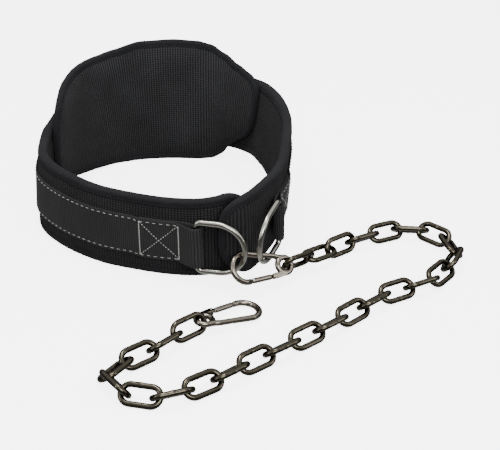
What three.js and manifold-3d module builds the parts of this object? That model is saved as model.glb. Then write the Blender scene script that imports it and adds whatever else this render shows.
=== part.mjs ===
// A dip belt as it stands on a floor: a padded waist band with a lumbar pad inside its back, webbing
// sewn round it, a D-ring in each webbing loop, a snap hook through both rings, and a chain that lies
// on the floor and ends in a second snap hook. Millimetres, +Z up, +X to the wearer's left, +Y back.

import * as THREE from "three";
import Module from "manifold-3d";
import { mergeVertices } from "three/addons/utils/BufferGeometryUtils.js";

const wasm = await Module();
wasm.setup();

// Clearances
const FIT = 0.35;
const LAY_GAP = 0.9;
const CHAIN_GAP = 0.35;

// The belt's ring, seen from above: size of the band's middle line, corner to corner
const RING_WIDTH = 292;
const RING_DEPTH = 326;
const RING_MIDDLE = { x: -106, y: 36 };

// Band and its binding
const BAND_WIDTH = 97;
const BAND_THICKNESS = 9.5;
const BAND_END_RADIUS = 38;
const BAND_CROWN = 0.8;
const BINDING_WIDTH = 9;
const BINDING_PROUD = 0.7;
const BINDING_ROUND = 2.2;

// Lumbar pad
const PAD_LEFT = 208;
const PAD_RIGHT = 138;
const PAD_HEIGHT = 159;
const PAD_MIDDLE = 0.553;
const PAD_THICKNESS = 13;
const PAD_EDGE_THICKNESS = 8;
const PAD_BINDING_WIDTH = 8;
const PAD_END_RADIUS = 24;

// Webbing
const WEB_WIDTH = 50;
const WEB_THICKNESS = 2.2;
const WEB_LAP = 47;
const LOOP_FROM_END = 71;
const LOOP_STANDOFF = 19.5;
const LOOP_LENGTH = 15;

// D-rings
const D_WIRE = 6.5;
const D_INSIDE = 55;
const D_LENGTH = 55;

// Snap hooks
const HOOK_WIRE = 6.6;
const HOOK_EYE = 8.8;
const HOOK_REACH = 50;
const HOOK_BOW = 16;
const HOOK_NECK = 9.6;
const HINGE_REACH = 15;
const GATE_WIRE = 6.2;
const GATE_OVERLAP = 4.5;
const TONGUE_THICKNESS = 2.4;
const PIN_RADIUS = 1.1;

// Chain
const LINK_WIRE = 6.3;
const LINK_INSIDE = 33.9;
const LINK_WIDTH = 25.6;

// How finely round things are cut; every piece on the belt has its sections at the belt's steps, so
// that faces which lie on each other stay parallel
const BELT_STEP = 16;
const WIRE_SIDES = 6;
const LINK_STEPS = 14;

// The band's middle line from its left end round the back to its right end. x and y are shares of
// half the ring's width and depth from its middle; rise lifts the lower edge off the floor, and lean
// carries the upper edge outwards, both as shares of the band's width.
const BELT_LINE = [
  { x: 0.74, y: -0.699, rise: 0.0, lean: 0.0 },
  { x: 0.671, y: -0.748, rise: 0.0, lean: 0.0 },
  { x: 0.555, y: -0.81, rise: 0.0, lean: 0.0 },
  { x: 0.466, y: -0.86, rise: 0.0, lean: 0.0 },
  { x: 0.342, y: -0.89, rise: 0.0, lean: 0.0 },
  { x: 0.11, y: -0.876, rise: 0.0, lean: 0.0 },
  { x: -0.123, y: -0.82, rise: 0.0, lean: -0.01 },
  { x: -0.438, y: -0.705, rise: 0.0, lean: -0.03 },
  { x: -0.755, y: -0.48, rise: 0.0, lean: -0.06 },
  { x: -0.938, y: -0.252, rise: 0.0, lean: -0.07 },
  { x: -0.985, y: -0.006, rise: 0.0, lean: -0.06 },
  { x: -0.955, y: 0.265, rise: 0.01, lean: 0.0 },
  { x: -0.86, y: 0.53, rise: 0.03, lean: 0.08 },
  { x: -0.678, y: 0.761, rise: 0.06, lean: 0.13 },
  { x: -0.404, y: 0.927, rise: 0.08, lean: 0.15 },
  { x: -0.062, y: 0.984, rise: 0.1, lean: 0.15 },
  { x: 0.281, y: 0.976, rise: 0.12, lean: 0.15 },
  { x: 0.562, y: 0.95, rise: 0.15, lean: 0.17 },
  { x: 0.791, y: 0.79, rise: 0.16, lean: 0.19 },
  { x: 0.893, y: 0.604, rise: 0.16, lean: 0.19 },
  { x: 0.942, y: 0.459, rise: 0.155, lean: 0.18 },
  { x: 0.986, y: 0.242, rise: 0.15, lean: 0.15 },
  { x: 0.997, y: 0.034, rise: 0.14, lean: 0.12 },
  { x: 0.979, y: -0.205, rise: 0.13, lean: 0.1 },
  { x: 0.95, y: -0.43, rise: 0.12, lean: 0.08 },
  { x: 0.9, y: -0.6, rise: 0.115, lean: 0.06 },
  { x: 0.836, y: -0.715, rise: 0.11, lean: 0.04 },
  { x: 0.74, y: -0.887, rise: 0.11, lean: 0.0 },
  { x: 0.661, y: -0.962, rise: 0.11, lean: -0.02 },
  { x: 0.575, y: -0.972, rise: 0.11, lean: -0.02 },
  { x: 0.493, y: -0.945, rise: 0.11, lean: -0.02 },
];

// The pad's outline: along is a share of its reach to the left or right of its middle, and top and
// bottom are shares of its height above the floor. Both ends are rounded off as well.
const PAD_OUTLINE = [
  { along: -1.0, top: 0.79, bottom: 0.06 },
  { along: -0.85, top: 0.85, bottom: 0.04 },
  { along: -0.62, top: 0.92, bottom: 0.02 },
  { along: -0.42, top: 0.935, bottom: 0.01 },
  { along: -0.28, top: 0.95, bottom: 0.0 },
  { along: -0.14, top: 0.99, bottom: 0.0 },
  { along: 0.1, top: 1.0, bottom: 0.0 },
  { along: 0.34, top: 0.99, bottom: 0.0 },
  { along: 0.46, top: 0.965, bottom: 0.01 },
  { along: 0.58, top: 0.9, bottom: 0.05 },
  { along: 0.7, top: 0.835, bottom: 0.12 },
  { along: 0.82, top: 0.81, bottom: 0.17 },
  { along: 1.0, top: 0.8, bottom: 0.2 },
];
const PAD_END_POWER = 4.5;

// How the D-rings, the hooks and the chain lie
const LEFT_D = { heading: -13, dip: -1, roll: 0 };
const RIGHT_D = { heading: 246, dip: 10.3, roll: -3 };
const FRONT_HOOK_FROM_RINGS = { x: 35.988, y: 20.1263, z: -29.803 };
const FRONT_HOOK_EYE_HEIGHT = 19.6;
const FRONT_HOOK_ROOM = 0.12;
const HOOK_MOVE = 0.3;
const HOOK_TWIST = 1;
const FRONT_HOOK_TURN = { heading: 208, pitch: -12.5, roll: -48 };
const EYE_SLACK = 1.6;
const END_HOOK_HEADING = 32.5;

// The chain's way from the front hook's eye to the end hook; h is the height of its axis there, and a
// link that would be lower than the floor lets it lies on the floor.
const CHAIN_ROUTE = [
  { x: 66, y: -97, h: 15 },
  { x: 91, y: -77, h: 12.5 },
  { x: 112, y: -60, h: 12 },
  { x: 138, y: -43, h: 10 },
  { x: 172, y: -26, h: 9.5 },
  { x: 199, y: -24, h: 10 },
  { x: 213, y: -42, h: 10 },
  { x: 219, y: -72, h: 10 },
  { x: 220, y: -102, h: 9.5 },
  { x: 209, y: -129, h: 9.5 },
  { x: 185, y: -145, h: 10 },
  { x: 146, y: -165, h: 10 },
  { x: 106, y: -201, h: 9.5 },
  { x: 54, y: -244, h: 9.5 },
  { x: 0, y: -285, h: 9.5 },
  { x: -53, y: -326, h: 9.5 },
  { x: -85, y: -340, h: 9.5 },
  { x: -110, y: -339, h: 9.5 },
  { x: -127, y: -320, h: 9.5 },
  { x: -118, y: -290, h: 9.5 },
  { x: -77, y: -240, h: 9.5 },
  { x: -50, y: -217, h: 9.5 },
  { x: -15, y: -190, h: 9.5 },
];

// How far each link leans over as it lies, from the front hook on; + is over to its right
const LINK_LEANS = [
  -62, -4, 60, -42, 38, -38, 40, -38, 38, -38, 40, -38, 40, -38, 40, -38, 40, -41, 38, -38, 42, -40, 38, -40, 38,
  -42, 62,
];

const radians = THREE.MathUtils.degToRad;
const UP = new THREE.Vector3(0, 0, 1);

// Materials
const finish = (color, roughness, metalness) => new THREE.MeshStandardMaterial({ color, roughness, metalness });
const KNIT = finish("#1d1e21", 0.95, 0);
const RIBBED_KNIT = finish("#232427", 0.95, 0);
const TWILL = finish("#26272a", 0.9, 0);
const WEBBING = finish("#202124", 0.8, 0);
const NICKEL = finish("#b9b8b2", 0.3, 1);
const HOOK_NICKEL = finish("#9c968b", 0.3, 1);
const GUNMETAL = finish("#5d584c", 0.35, 1);

const belt = new THREE.Group();

function add(name, geometry, material, parent = belt) {
  const mesh = new THREE.Mesh(geometry, material);
  mesh.name = name;
  parent.add(mesh);
  return mesh;
}

// Rings of points joined into one closed body, its faces turned outwards
function skin(rings, closed = false) {
  const count = rings.length;
  const sides = rings[0].length;
  const position = rings.flat().flatMap((p) => [p.x, p.y, p.z]);
  const index = [];
  const last = closed ? count : count - 1;
  for (let i = 0; i < last; i++) {
    const next = (i + 1) % count;
    for (let j = 0; j < sides; j++) {
      const k = (j + 1) % sides;
      index.push(i * sides + j, next * sides + j, next * sides + k);
      index.push(i * sides + j, next * sides + k, i * sides + k);
    }
  }
  if (!closed) {
    const end = (count - 1) * sides;
    for (let j = 1; j < sides - 1; j++) {
      index.push(0, j, j + 1);
      index.push(end, end + j + 1, end + j);
    }
  }
  const geometry = new THREE.BufferGeometry();
  geometry.setAttribute("position", new THREE.Float32BufferAttribute(position, 3));
  geometry.setIndex(volume(position, index) < 0 ? index.reverse() : index);
  return geometry;
}

function volume(position, index) {
  const corner = (i) => new THREE.Vector3().fromArray(position, index[i] * 3);
  let sum = 0;
  for (let i = 0; i < index.length; i += 3) {
    sum += corner(i).dot(corner(i + 1).cross(corner(i + 2)));
  }
  return sum / 6;
}

// Solids for the boolean joins and cuts of the hooks
function toSolid(geometry) {
  const bare = geometry.clone();
  bare.deleteAttribute("normal");
  bare.deleteAttribute("uv");
  const merged = mergeVertices(bare, 1e-4);
  return new wasm.Manifold(
    new wasm.Mesh({
      numProp: 3,
      vertProperties: new Float32Array(merged.attributes.position.array),
      triVerts: new Uint32Array(merged.index.array),
    }),
  );
}

function fromSolid(solid) {
  const mesh = solid.getMesh();
  const geometry = new THREE.BufferGeometry();
  geometry.setAttribute("position", new THREE.Float32BufferAttribute(mesh.vertProperties, 3));
  geometry.setIndex(new THREE.Uint32BufferAttribute(mesh.triVerts, 1));
  return geometry;
}

// The band's middle line as a curve, and what rises and leans along it
const beltCurve = new THREE.CatmullRomCurve3(
  BELT_LINE.map((row) => new THREE.Vector3(RING_MIDDLE.x + (row.x * RING_WIDTH) / 2, RING_MIDDLE.y + (row.y * RING_DEPTH) / 2, 0)),
  false,
  "centripetal",
);
beltCurve.arcLengthDivisions = 2000;
const BELT_LENGTH = beltCurve.getLength();

function along(column, u) {
  const place = THREE.MathUtils.clamp(u, 0, 1) * (BELT_LINE.length - 1);
  const i = Math.min(Math.floor(place), BELT_LINE.length - 2);
  const share = place - i;
  const ease = share * share * (3 - 2 * share);
  return THREE.MathUtils.lerp(BELT_LINE[i][column], BELT_LINE[i + 1][column], ease);
}

// The belt's line at one of its steps: where it is, outwards, and its rise and lean
const beltSteps = Array.from({ length: Math.ceil(BELT_LENGTH / BELT_STEP) + 1 }, (_, i) => {
  const share = Math.min((i * BELT_STEP) / BELT_LENGTH, 1);
  const u = beltCurve.getUtoTmapping(share);
  const tangent = beltCurve.getTangent(u);
  const past = i * BELT_STEP - share * BELT_LENGTH;
  return {
    point: beltCurve.getPoint(u).addScaledVector(tangent, past),
    out: new THREE.Vector3(-tangent.y, tangent.x, 0),
    rise: along("rise", u) * BAND_WIDTH,
    lean: along("lean", u),
  };
});

// A point of the belt: s mm along it from its left end, v mm up from the band's lower edge, and
// t mm outwards from the middle of its thickness
function onBelt(s, v, t) {
  const i = THREE.MathUtils.clamp(Math.floor(s / BELT_STEP), 0, beltSteps.length - 2);
  const [here, next] = [beltSteps[i], beltSteps[i + 1]].map(({ point, out, rise, lean }) =>
    point.clone().addScaledVector(out, t + lean * (v - BAND_WIDTH / 2)).setZ(rise + v),
  );
  return here.lerp(next, s / BELT_STEP - i);
}

function riseAt(s) {
  return onBelt(s, 0, 0).z;
}

// The steps between two places, with both places
function stepsBetween(from, to) {
  const inside = beltSteps.map((_, i) => i * BELT_STEP).filter((s) => s > Math.min(from, to) + 0.5 && s < Math.max(from, to) - 0.5);
  return from < to ? [from, ...inside, to] : [from, ...inside.toReversed(), to];
}

// Flat patterns are outlines of points {s, v}, clockwise from the left end along the top
function roundedStrip(length, width, radius) {
  const corner = (cx, cy, from) => arc(cx, cy, radius, from, from - 90, 24).map(({ x, y }) => ({ s: x, v: y }));
  return [
    ...corner(radius, width - radius, 180),
    ...corner(length - radius, width - radius, 90),
    ...corner(length - radius, radius, 0),
    ...corner(radius, radius, -90),
  ];
}

function inset(outline, distance) {
  const count = outline.length;
  return outline.map((point, i) => {
    const before = outline[(i + count - 1) % count];
    const after = outline[(i + 1) % count];
    const ds = after.s - before.s;
    const dv = after.v - before.v;
    const size = Math.hypot(ds, dv);
    return { s: point.s + (dv / size) * distance, v: point.v - (ds / size) * distance };
  });
}

// Lowest and highest v of an outline at s
function span(outline, s) {
  const heights = [];
  outline.forEach((a, i) => {
    const b = outline[(i + 1) % outline.length];
    if ((a.s <= s && b.s > s) || (b.s <= s && a.s > s)) {
      heights.push(a.v + ((b.v - a.v) * (s - a.s)) / (b.s - a.s));
    }
  });
  return [Math.min(...heights), Math.max(...heights)];
}

function reach(outline) {
  const all = outline.map((point) => point.s);
  return [Math.min(...all) + TIP, Math.max(...all) - TIP];
}

// Where a bound piece has its sections: closer together round both ends
const TIP = 0.05;
const END_SHARES = [0.06, 0.2, 0.42, 0.7, 1];

function sections(outline, endRadius) {
  const [low, high] = reach(outline);
  const ends = END_SHARES.map((share) => share * endRadius);
  const steps = stepsBetween(low, high).filter((s) => s > low + 2 * TIP && s < high - 2 * TIP);
  const all = [low, high, ...ends.map((d) => low + d), ...ends.map((d) => high - d), ...steps];
  return all.sort((a, b) => a - b).filter((s, i, list) => i === 0 || s - list[i - 1] > TIP);
}

// A binding's outer and inner edges, point by point, first along the top from the left and then back
// along the bottom. Past the inner edge's ends its points run down a straight stretch.
function boundEdges(outline, width, endRadius) {
  const places = sections(outline, endRadius);
  const inner = inset(outline, width);
  const [low, high] = reach(inner);
  const before = places.filter((s) => s < low + 2 * TIP).length;
  const after = places.filter((s) => s > high - 2 * TIP).length;
  const side = (index) =>
    places.map((s, i) => {
      const past = Math.max(before - 1 - i, i - (places.length - after), 0);
      const share = s < (low + high) / 2 ? past / before : past / after;
      const at = THREE.MathUtils.clamp(s, low, high);
      const ends = span(inner, i < before ? low : i >= places.length - after ? high : at);
      const v = THREE.MathUtils.lerp(ends[index], (ends[0] + ends[1]) / 2, share);
      return { outer: { s, v: span(outline, s)[index] }, inner: { s: i < before ? low : i >= places.length - after ? high : s, v } };
    });
  return [...side(1), ...side(0).toReversed()];
}

// A binding: a bead carried round the outline, with its flat side against what it binds
function makeBinding(name, edges, width, inside, outside, place) {
  const round = BINDING_ROUND / width;
  const rings = edges.map(({ outer, inner }) => {
    const at = (share, t) =>
      place(THREE.MathUtils.lerp(outer.s, inner.s, share), THREE.MathUtils.lerp(outer.v, inner.v, share), t);
    return [
      at(0, inside + BINDING_ROUND),
      at(0, outside - BINDING_ROUND),
      at(round, outside),
      at(1, outside),
      at(1, inside),
      at(round, inside),
    ];
  });
  add(name, skin(rings, true), TWILL);
}

// The sections of what a binding holds, a fit's gap inside its inner edge: {s, low, high}
function heldSections(edges) {
  const half = edges.length / 2;
  const line = (points) => points.map(({ inner }) => inner);
  const top = line(edges.slice(0, half));
  const bottom = line(edges.slice(half).toReversed());
  const low = top[0].s;
  const high = top.at(-1).s;
  const height = (points, s) => {
    const i = Math.max(points.findLastIndex((point, k) => point.s <= s && k < half - 1), 0);
    const [a, b] = [points[i], points[i + 1]];
    const slope = (b.v - a.v) / (b.s - a.s);
    return { v: a.v + slope * (s - a.s), gap: FIT * Math.hypot(1, slope) };
  };
  const inside = top.map((point) => point.s).filter((s) => s > low + 2 * FIT && s < high - 2 * FIT);
  return [low + FIT, ...inside, high - FIT].map((s) => {
    const above = height(top, s);
    const under = height(bottom, s);
    return { s, low: under.v + under.gap, high: above.v - above.gap };
  });
}

function makeBand() {
  const outline = roundedStrip(BELT_LENGTH, BAND_WIDTH, BAND_END_RADIUS);
  const edges = boundEdges(outline, BINDING_WIDTH, BAND_END_RADIUS);
  const half = BAND_THICKNESS / 2;
  makeBinding("band_binding", edges, BINDING_WIDTH, -half - BINDING_PROUD, half + BINDING_PROUD, onBelt);
  const rings = heldSections(edges).map(({ s, low, high }) => {
    const middle = (low + high) / 2;
    return [
      onBelt(s, low, half),
      onBelt(s, middle, half + BAND_CROWN),
      onBelt(s, high, half),
      onBelt(s, high, -half),
      onBelt(s, middle, -half),
      onBelt(s, low, -half),
    ];
  });
  add("belt_band", skin(rings), KNIT);
}

// The pad stands on the floor, so its heights are taken from there
function padTable(column, share) {
  const rows = PAD_OUTLINE;
  const i = Math.min(rows.findLastIndex((row) => row.along <= share), rows.length - 2);
  const at = (share - rows[i].along) / (rows[i + 1].along - rows[i].along);
  const ease = at * at * (3 - 2 * at);
  return THREE.MathUtils.lerp(rows[i][column], rows[i + 1][column], (at + ease) / 2) * PAD_HEIGHT;
}

function padOutline() {
  const middle = BELT_LENGTH * PAD_MIDDLE;
  const steps = 90;
  const edge = (column, from) =>
    Array.from({ length: steps }, (_, i) => {
      const share = from * Math.cos((Math.PI * i) / steps);
      const centre = (padTable("top", share) + padTable("bottom", share)) / 2;
      const round = (1 - Math.abs(share) ** PAD_END_POWER) ** (1 / PAD_END_POWER);
      const reached = share < 0 ? PAD_LEFT : PAD_RIGHT;
      return { s: middle + share * reached, v: THREE.MathUtils.lerp(centre, padTable(column, share), round) };
    });
  return [...edge("top", -1), ...edge("bottom", 1)];
}

function makePad() {
  const back = -(BAND_THICKNESS / 2 + BINDING_PROUD + LAY_GAP);
  const front = back - PAD_EDGE_THICKNESS;
  const onPad = (s, height, t) => onBelt(s, height - riseAt(s), t);
  const edges = boundEdges(padOutline(), PAD_BINDING_WIDTH, PAD_END_RADIUS);
  makeBinding("pad_binding", edges, PAD_BINDING_WIDTH, front, back, onPad);
  const rings = heldSections(edges).map(({ s, low, high }) => {
    const at = (share) => THREE.MathUtils.lerp(low, high, share);
    const full = Math.min(1, (high - low) / PAD_HEIGHT + 0.3);
    const crown = back - THREE.MathUtils.lerp(PAD_EDGE_THICKNESS, PAD_THICKNESS, full);
    return [
      onPad(s, low, back),
      onPad(s, high, back),
      onPad(s, high, front),
      onPad(s, at(0.82), crown),
      onPad(s, at(0.5), crown),
      onPad(s, at(0.18), crown),
      onPad(s, low, front),
    ];
  });
  add("lumbar_pad", skin(rings), RIBBED_KNIT);
}

// The webbing: its path is points {s, t}, from the inner lap at the left loop to that at the right
const WEB_SEAT = BAND_THICKNESS / 2 + BAND_CROWN + LAY_GAP + WEB_THICKNESS / 2;
const LOOP_RADIUS = D_WIRE / 2 + LAY_GAP + WEB_THICKNESS / 2;

// How far the D-ring's bar leans along and away from the belt for each mm of height
function barLean(s, ring) {
  const bar = new THREE.Vector3().setFromMatrixColumn(ring.matrix, 1);
  bar.divideScalar(bar.z);
  const here = onBelt(s, 0, 0);
  bar.sub(onBelt(s, 1, 0).sub(here));
  const outward = onBelt(s, 0, 1).sub(here);
  const onward = new THREE.Vector3(outward.y, -outward.x, 0);
  return { s: bar.dot(onward), t: bar.dot(outward) };
}

// Half of the webbing's path, from the inner lap's end round the D-ring's bar to the outer lap's end;
// lean tilts the loop with the bar
function webHalf(lean) {
  const outer = WEB_SEAT + WEB_THICKNESS + FIT;
  const bend = LOOP_FROM_END + LOOP_LENGTH;
  const level = { s: 0, t: 0 };
  const lap = (from, to, t) => stepsBetween(from, to).map((s) => ({ s, t, lean: level }));
  const loop = [-75, -40, 0, 40, 80, 115].map((degrees) => ({
    s: LOOP_FROM_END - LOOP_RADIUS * Math.cos(radians(degrees)),
    t: LOOP_STANDOFF + LOOP_RADIUS * Math.sin(radians(degrees)),
    lean,
  }));
  return [...lap(bend + WEB_LAP - 1, bend + 3, WEB_SEAT), ...loop, ...lap(bend + 6, bend + WEB_LAP, outer)];
}

function makeWeb(leftRing, rightRing) {
  const left = webHalf(barLean(LOOP_FROM_END, leftRing));
  const rightLean = barLean(BELT_LENGTH - LOOP_FROM_END, rightRing);
  const right = webHalf({ s: -rightLean.s, t: rightLean.t });
  const down = left.at(-1).s + 8;
  const run = stepsBetween(down, BELT_LENGTH - down).map((s) => ({ s, t: WEB_SEAT, lean: { s: 0, t: 0 } }));
  const mirrored = right.toReversed().map(({ s, t, lean }) => ({ s: BELT_LENGTH - s, t, lean: { s: -lean.s, t: lean.t } }));
  const path = [...left, ...run, ...mirrored];
  const low = (BAND_WIDTH - WEB_WIDTH) / 2;
  const rings = path.map((point, i) => {
    const before = path[Math.max(i - 1, 0)];
    const after = path[Math.min(i + 1, path.length - 1)];
    const size = Math.hypot(after.s - before.s, after.t - before.t);
    const across = { s: -(after.t - before.t) / size, t: (after.s - before.s) / size };
    const edge = (side, v) =>
      onBelt(
        point.s + (across.s * side * WEB_THICKNESS) / 2 + point.lean.s * (v - BAND_WIDTH / 2),
        v,
        point.t + (across.t * side * WEB_THICKNESS) / 2 + point.lean.t * (v - BAND_WIDTH / 2),
      );
    return [edge(-1, low), edge(1, low), edge(1, low + WEB_WIDTH), edge(-1, low + WEB_WIDTH)];
  });
  add("web_strap", skin(rings), WEBBING);
}

// Round wire along points {x, y} in its own flat plane
function wireRings(line, radius, sides, closed) {
  const count = line.length;
  return line.map((point, i) => {
    const before = closed ? line[(i + count - 1) % count] : line[Math.max(i - 1, 0)];
    const after = closed ? line[(i + 1) % count] : line[Math.min(i + 1, count - 1)];
    const dx = after.x - before.x;
    const dy = after.y - before.y;
    const size = Math.hypot(dx, dy);
    return Array.from({ length: sides }, (_, j) => {
      const a = (2 * Math.PI * (j + 0.5)) / sides;
      const out = radius * Math.cos(a);
      return new THREE.Vector3(point.x + (dy / size) * out, point.y - (dx / size) * out, radius * Math.sin(a));
    });
  });
}

function arc(cx, cy, radius, from, to, steps) {
  return Array.from({ length: steps + 1 }, (_, i) => {
    const a = radians(from + ((to - from) * i) / steps);
    return { x: cx + radius * Math.cos(a), y: cy + radius * Math.sin(a) };
  });
}

// A D-ring in its own plane: x from the bar towards the round end, y up
function dRingLine() {
  const half = (D_INSIDE + D_WIRE) / 2;
  const bend = D_WIRE;
  return [
    ...arc(bend, -half + bend, bend, 180, 270, 3),
    { x: (D_LENGTH - half + bend) / 2, y: -half },
    ...arc(D_LENGTH - half, 0, half, -90, 90, 14),
    { x: (D_LENGTH - half + bend) / 2, y: half },
    ...arc(bend, half - bend, bend, 90, 180, 3),
    { x: 0, y: 0 },
  ];
}

function turned(heading, pitch, roll, position) {
  const matrix = new THREE.Matrix4().makeRotationZ(radians(heading));
  matrix.multiply(new THREE.Matrix4().makeRotationY(radians(pitch)));
  matrix.multiply(new THREE.Matrix4().makeRotationX(radians(roll)));
  return matrix.setPosition(position.x, position.y, position.z);
}

function placeDRing(name, s, { heading, dip, roll }) {
  const bar = onBelt(s, BAND_WIDTH / 2, LOOP_STANDOFF);
  const mesh = add(name, skin(wireRings(dRingLine(), D_WIRE / 2, 8, true), true), NICKEL);
  mesh.applyMatrix4(turned(heading, dip, 90 + roll, bar));
  mesh.updateMatrix();
  return mesh;
}

// A snap hook in its own plane: the eye at the middle, the bow towards +x, the gate on the +y side
const bowSlope = (HOOK_BOW - HOOK_NECK) / HOOK_REACH;
const HINGE = { x: HINGE_REACH, y: HOOK_NECK + bowSlope * HINGE_REACH };
const gateAngle = Math.atan(bowSlope);
const GATE_REACH = (HOOK_REACH - GATE_OVERLAP - HINGE.x) / Math.cos(gateAngle);

function hookLine() {
  const turned = (gateAngle * 180) / Math.PI;
  return [
    { x: 0, y: -HOOK_EYE },
    { x: HOOK_REACH / 3, y: -HOOK_NECK - (bowSlope * HOOK_REACH) / 3 },
    ...arc(HOOK_REACH, 0, HOOK_BOW, -90 + turned - 12, 90, 12),
    { x: HOOK_REACH - GATE_OVERLAP, y: HOOK_BOW - GATE_OVERLAP * bowSlope },
  ];
}

// Moves the end ring of a wire so that it lies on a circle round the hinge
function cutRound(ring, radius) {
  return ring.map((p) => {
    const q = -(p.x - HINGE.x) * Math.sin(gateAngle) + (p.y - HINGE.y) * Math.cos(gateAngle);
    const reach = Math.sqrt(radius * radius - q * q);
    const x = HINGE.x + reach * Math.cos(gateAngle) - q * Math.sin(gateAngle);
    const y = HINGE.y + reach * Math.sin(gateAngle) + q * Math.cos(gateAngle);
    return new THREE.Vector3(x, y, p.z);
  });
}

function plate(points, low, high) {
  const geometry = new THREE.ExtrudeGeometry(new THREE.Shape(points.map((p) => new THREE.Vector2(p.x, p.y))), {
    depth: high - low,
    bevelEnabled: false,
  });
  return geometry.translate(0, 0, low);
}

function hookGeometries() {
  const radius = HOOK_WIRE / 2;
  const eye = skin(wireRings(arc(0, 0, HOOK_EYE, 0, 360, 16).slice(1), radius, 8, true), true);
  const rings = wireRings(hookLine(), radius, 8, false);
  rings.push(cutRound(rings.pop(), GATE_REACH + FIT));
  const knuckle = HOOK_WIRE / 2;
  const tongueHalf = TONGUE_THICKNESS / 2;
  const ear = [
    { x: 0, y: HOOK_EYE - 1.8 },
    ...arc(HINGE.x, HINGE.y, knuckle, -90, 90, 6),
    { x: 0, y: HOOK_EYE + 1.8 },
  ];
  const pin = plate(arc(HINGE.x, HINGE.y, PIN_RADIUS, 0, 360, 8).slice(1), -tongueHalf - 1, tongueHalf + 1);
  const stub = plate(
    [
      { x: 0, y: HOOK_EYE - 1.8 },
      { x: HINGE.x - knuckle - 1.2, y: HINGE.y - knuckle },
      { x: HINGE.x - knuckle - 1.2, y: HINGE.y + knuckle - 0.6 },
      { x: 0, y: HOOK_EYE + 1.8 },
    ],
    -radius + 0.4,
    radius - 0.4,
  );
  let body = toSolid(eye).add(toSolid(skin(rings))).add(toSolid(stub)).add(toSolid(pin));
  body = body.add(toSolid(plate(ear, tongueHalf + FIT, radius)));
  body = body.add(toSolid(plate(ear, -radius, -tongueHalf - FIT)));
  const start = knuckle + 1.2;
  const gateLine = [start, GATE_REACH].map((reach) => ({
    x: HINGE.x + reach * Math.cos(gateAngle),
    y: HINGE.y + reach * Math.sin(gateAngle),
  }));
  const gateRings = wireRings(gateLine, GATE_WIRE / 2, 8, false);
  gateRings.push(cutRound(gateRings.pop(), GATE_REACH));
  const half = GATE_WIRE / 2 - 0.6;
  const side = (reach, q) => ({
    x: HINGE.x + reach * Math.cos(gateAngle) - q * Math.sin(gateAngle),
    y: HINGE.y + reach * Math.sin(gateAngle) + q * Math.cos(gateAngle),
  });
  const tongue = [
    ...arc(HINGE.x, HINGE.y, half, 90 + (gateAngle * 180) / Math.PI, 270 + (gateAngle * 180) / Math.PI, 6),
    side(start + 2, -half),
    side(start + 2, half),
  ];
  let gate = toSolid(skin(gateRings)).add(toSolid(plate(tongue, -tongueHalf, tongueHalf)));
  const hole = plate(arc(HINGE.x, HINGE.y, PIN_RADIUS + FIT, 0, 360, 8).slice(1), -tongueHalf - 1, tongueHalf + 1);
  gate = gate.subtract(toSolid(hole));
  return [fromSolid(body), fromSolid(gate)];
}

const [hookBody, hookGate] = hookGeometries();

function placeHook(name, matrix) {
  const group = new THREE.Group();
  group.applyMatrix4(matrix);
  belt.add(group);
  add(name, hookBody, HOOK_NICKEL, group);
  add(`${name}_gate`, hookGate, HOOK_NICKEL, group);
}

// Chain links, in their own plane: x along the link
function linkLine(steps) {
  const bend = (LINK_WIDTH - LINK_WIRE) / 2;
  const straight = (LINK_INSIDE + LINK_WIRE) / 2 - bend;
  return [...arc(straight, 0, bend, -90, 90, steps), ...arc(-straight, 0, bend, 90, 270, steps)];
}

// A link's place: its middle, the way it points, and its lean to one side
function linkMatrix(middle, way, lean) {
  const side = new THREE.Vector3(-way.y, way.x, 0).normalize();
  const up = new THREE.Vector3().crossVectors(way, side);
  const across = side.multiplyScalar(Math.cos(lean)).addScaledVector(up, Math.sin(lean));
  const normal = new THREE.Vector3().crossVectors(way, across);
  return new THREE.Matrix4().makeBasis(way, across, normal).setPosition(middle);
}

function placed(line, matrix) {
  return line.map(({ x, y }) => new THREE.Vector3(x, y, 0).applyMatrix4(matrix));
}

// Shortest distance between two closed lines of points
function nearest(lineA, lineB) {
  const a = new THREE.Vector3();
  const b = new THREE.Vector3();
  let least = Infinity;
  for (let i = 0; i < lineA.length; i++) {
    for (let j = 0; j < lineB.length; j++) {
      least = Math.min(
        least,
        between(lineA[i], lineA[(i + 1) % lineA.length], lineB[j], lineB[(j + 1) % lineB.length], a, b),
      );
    }
  }
  return least;
}

// Shortest distance between the stretches pq and rs
function between(p, q, r, s, a, b) {
  const d1 = new THREE.Vector3().subVectors(q, p);
  const d2 = new THREE.Vector3().subVectors(s, r);
  const gap = new THREE.Vector3().subVectors(p, r);
  const aa = d1.dot(d1);
  const ee = d2.dot(d2);
  const f = d2.dot(gap);
  const c = d1.dot(gap);
  const bb = d1.dot(d2);
  const denominator = aa * ee - bb * bb;
  const clamp = THREE.MathUtils.clamp;
  let m = denominator > 1e-9 ? clamp((bb * f - c * ee) / denominator, 0, 1) : 0;
  let n = (bb * m + f) / ee;
  if (n < 0 || n > 1) {
    n = clamp(n, 0, 1);
    m = clamp((bb * n - c) / aa, 0, 1);
  }
  a.copy(p).addScaledVector(d1, m);
  b.copy(r).addScaledVector(d2, n);
  return a.distanceTo(b);
}

// Height of a lying link's middle
function lieHeight(lean) {
  return LINK_WIRE / 2 + ((LINK_WIDTH - LINK_WIRE) / 2) * Math.abs(Math.sin(lean));
}

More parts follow.
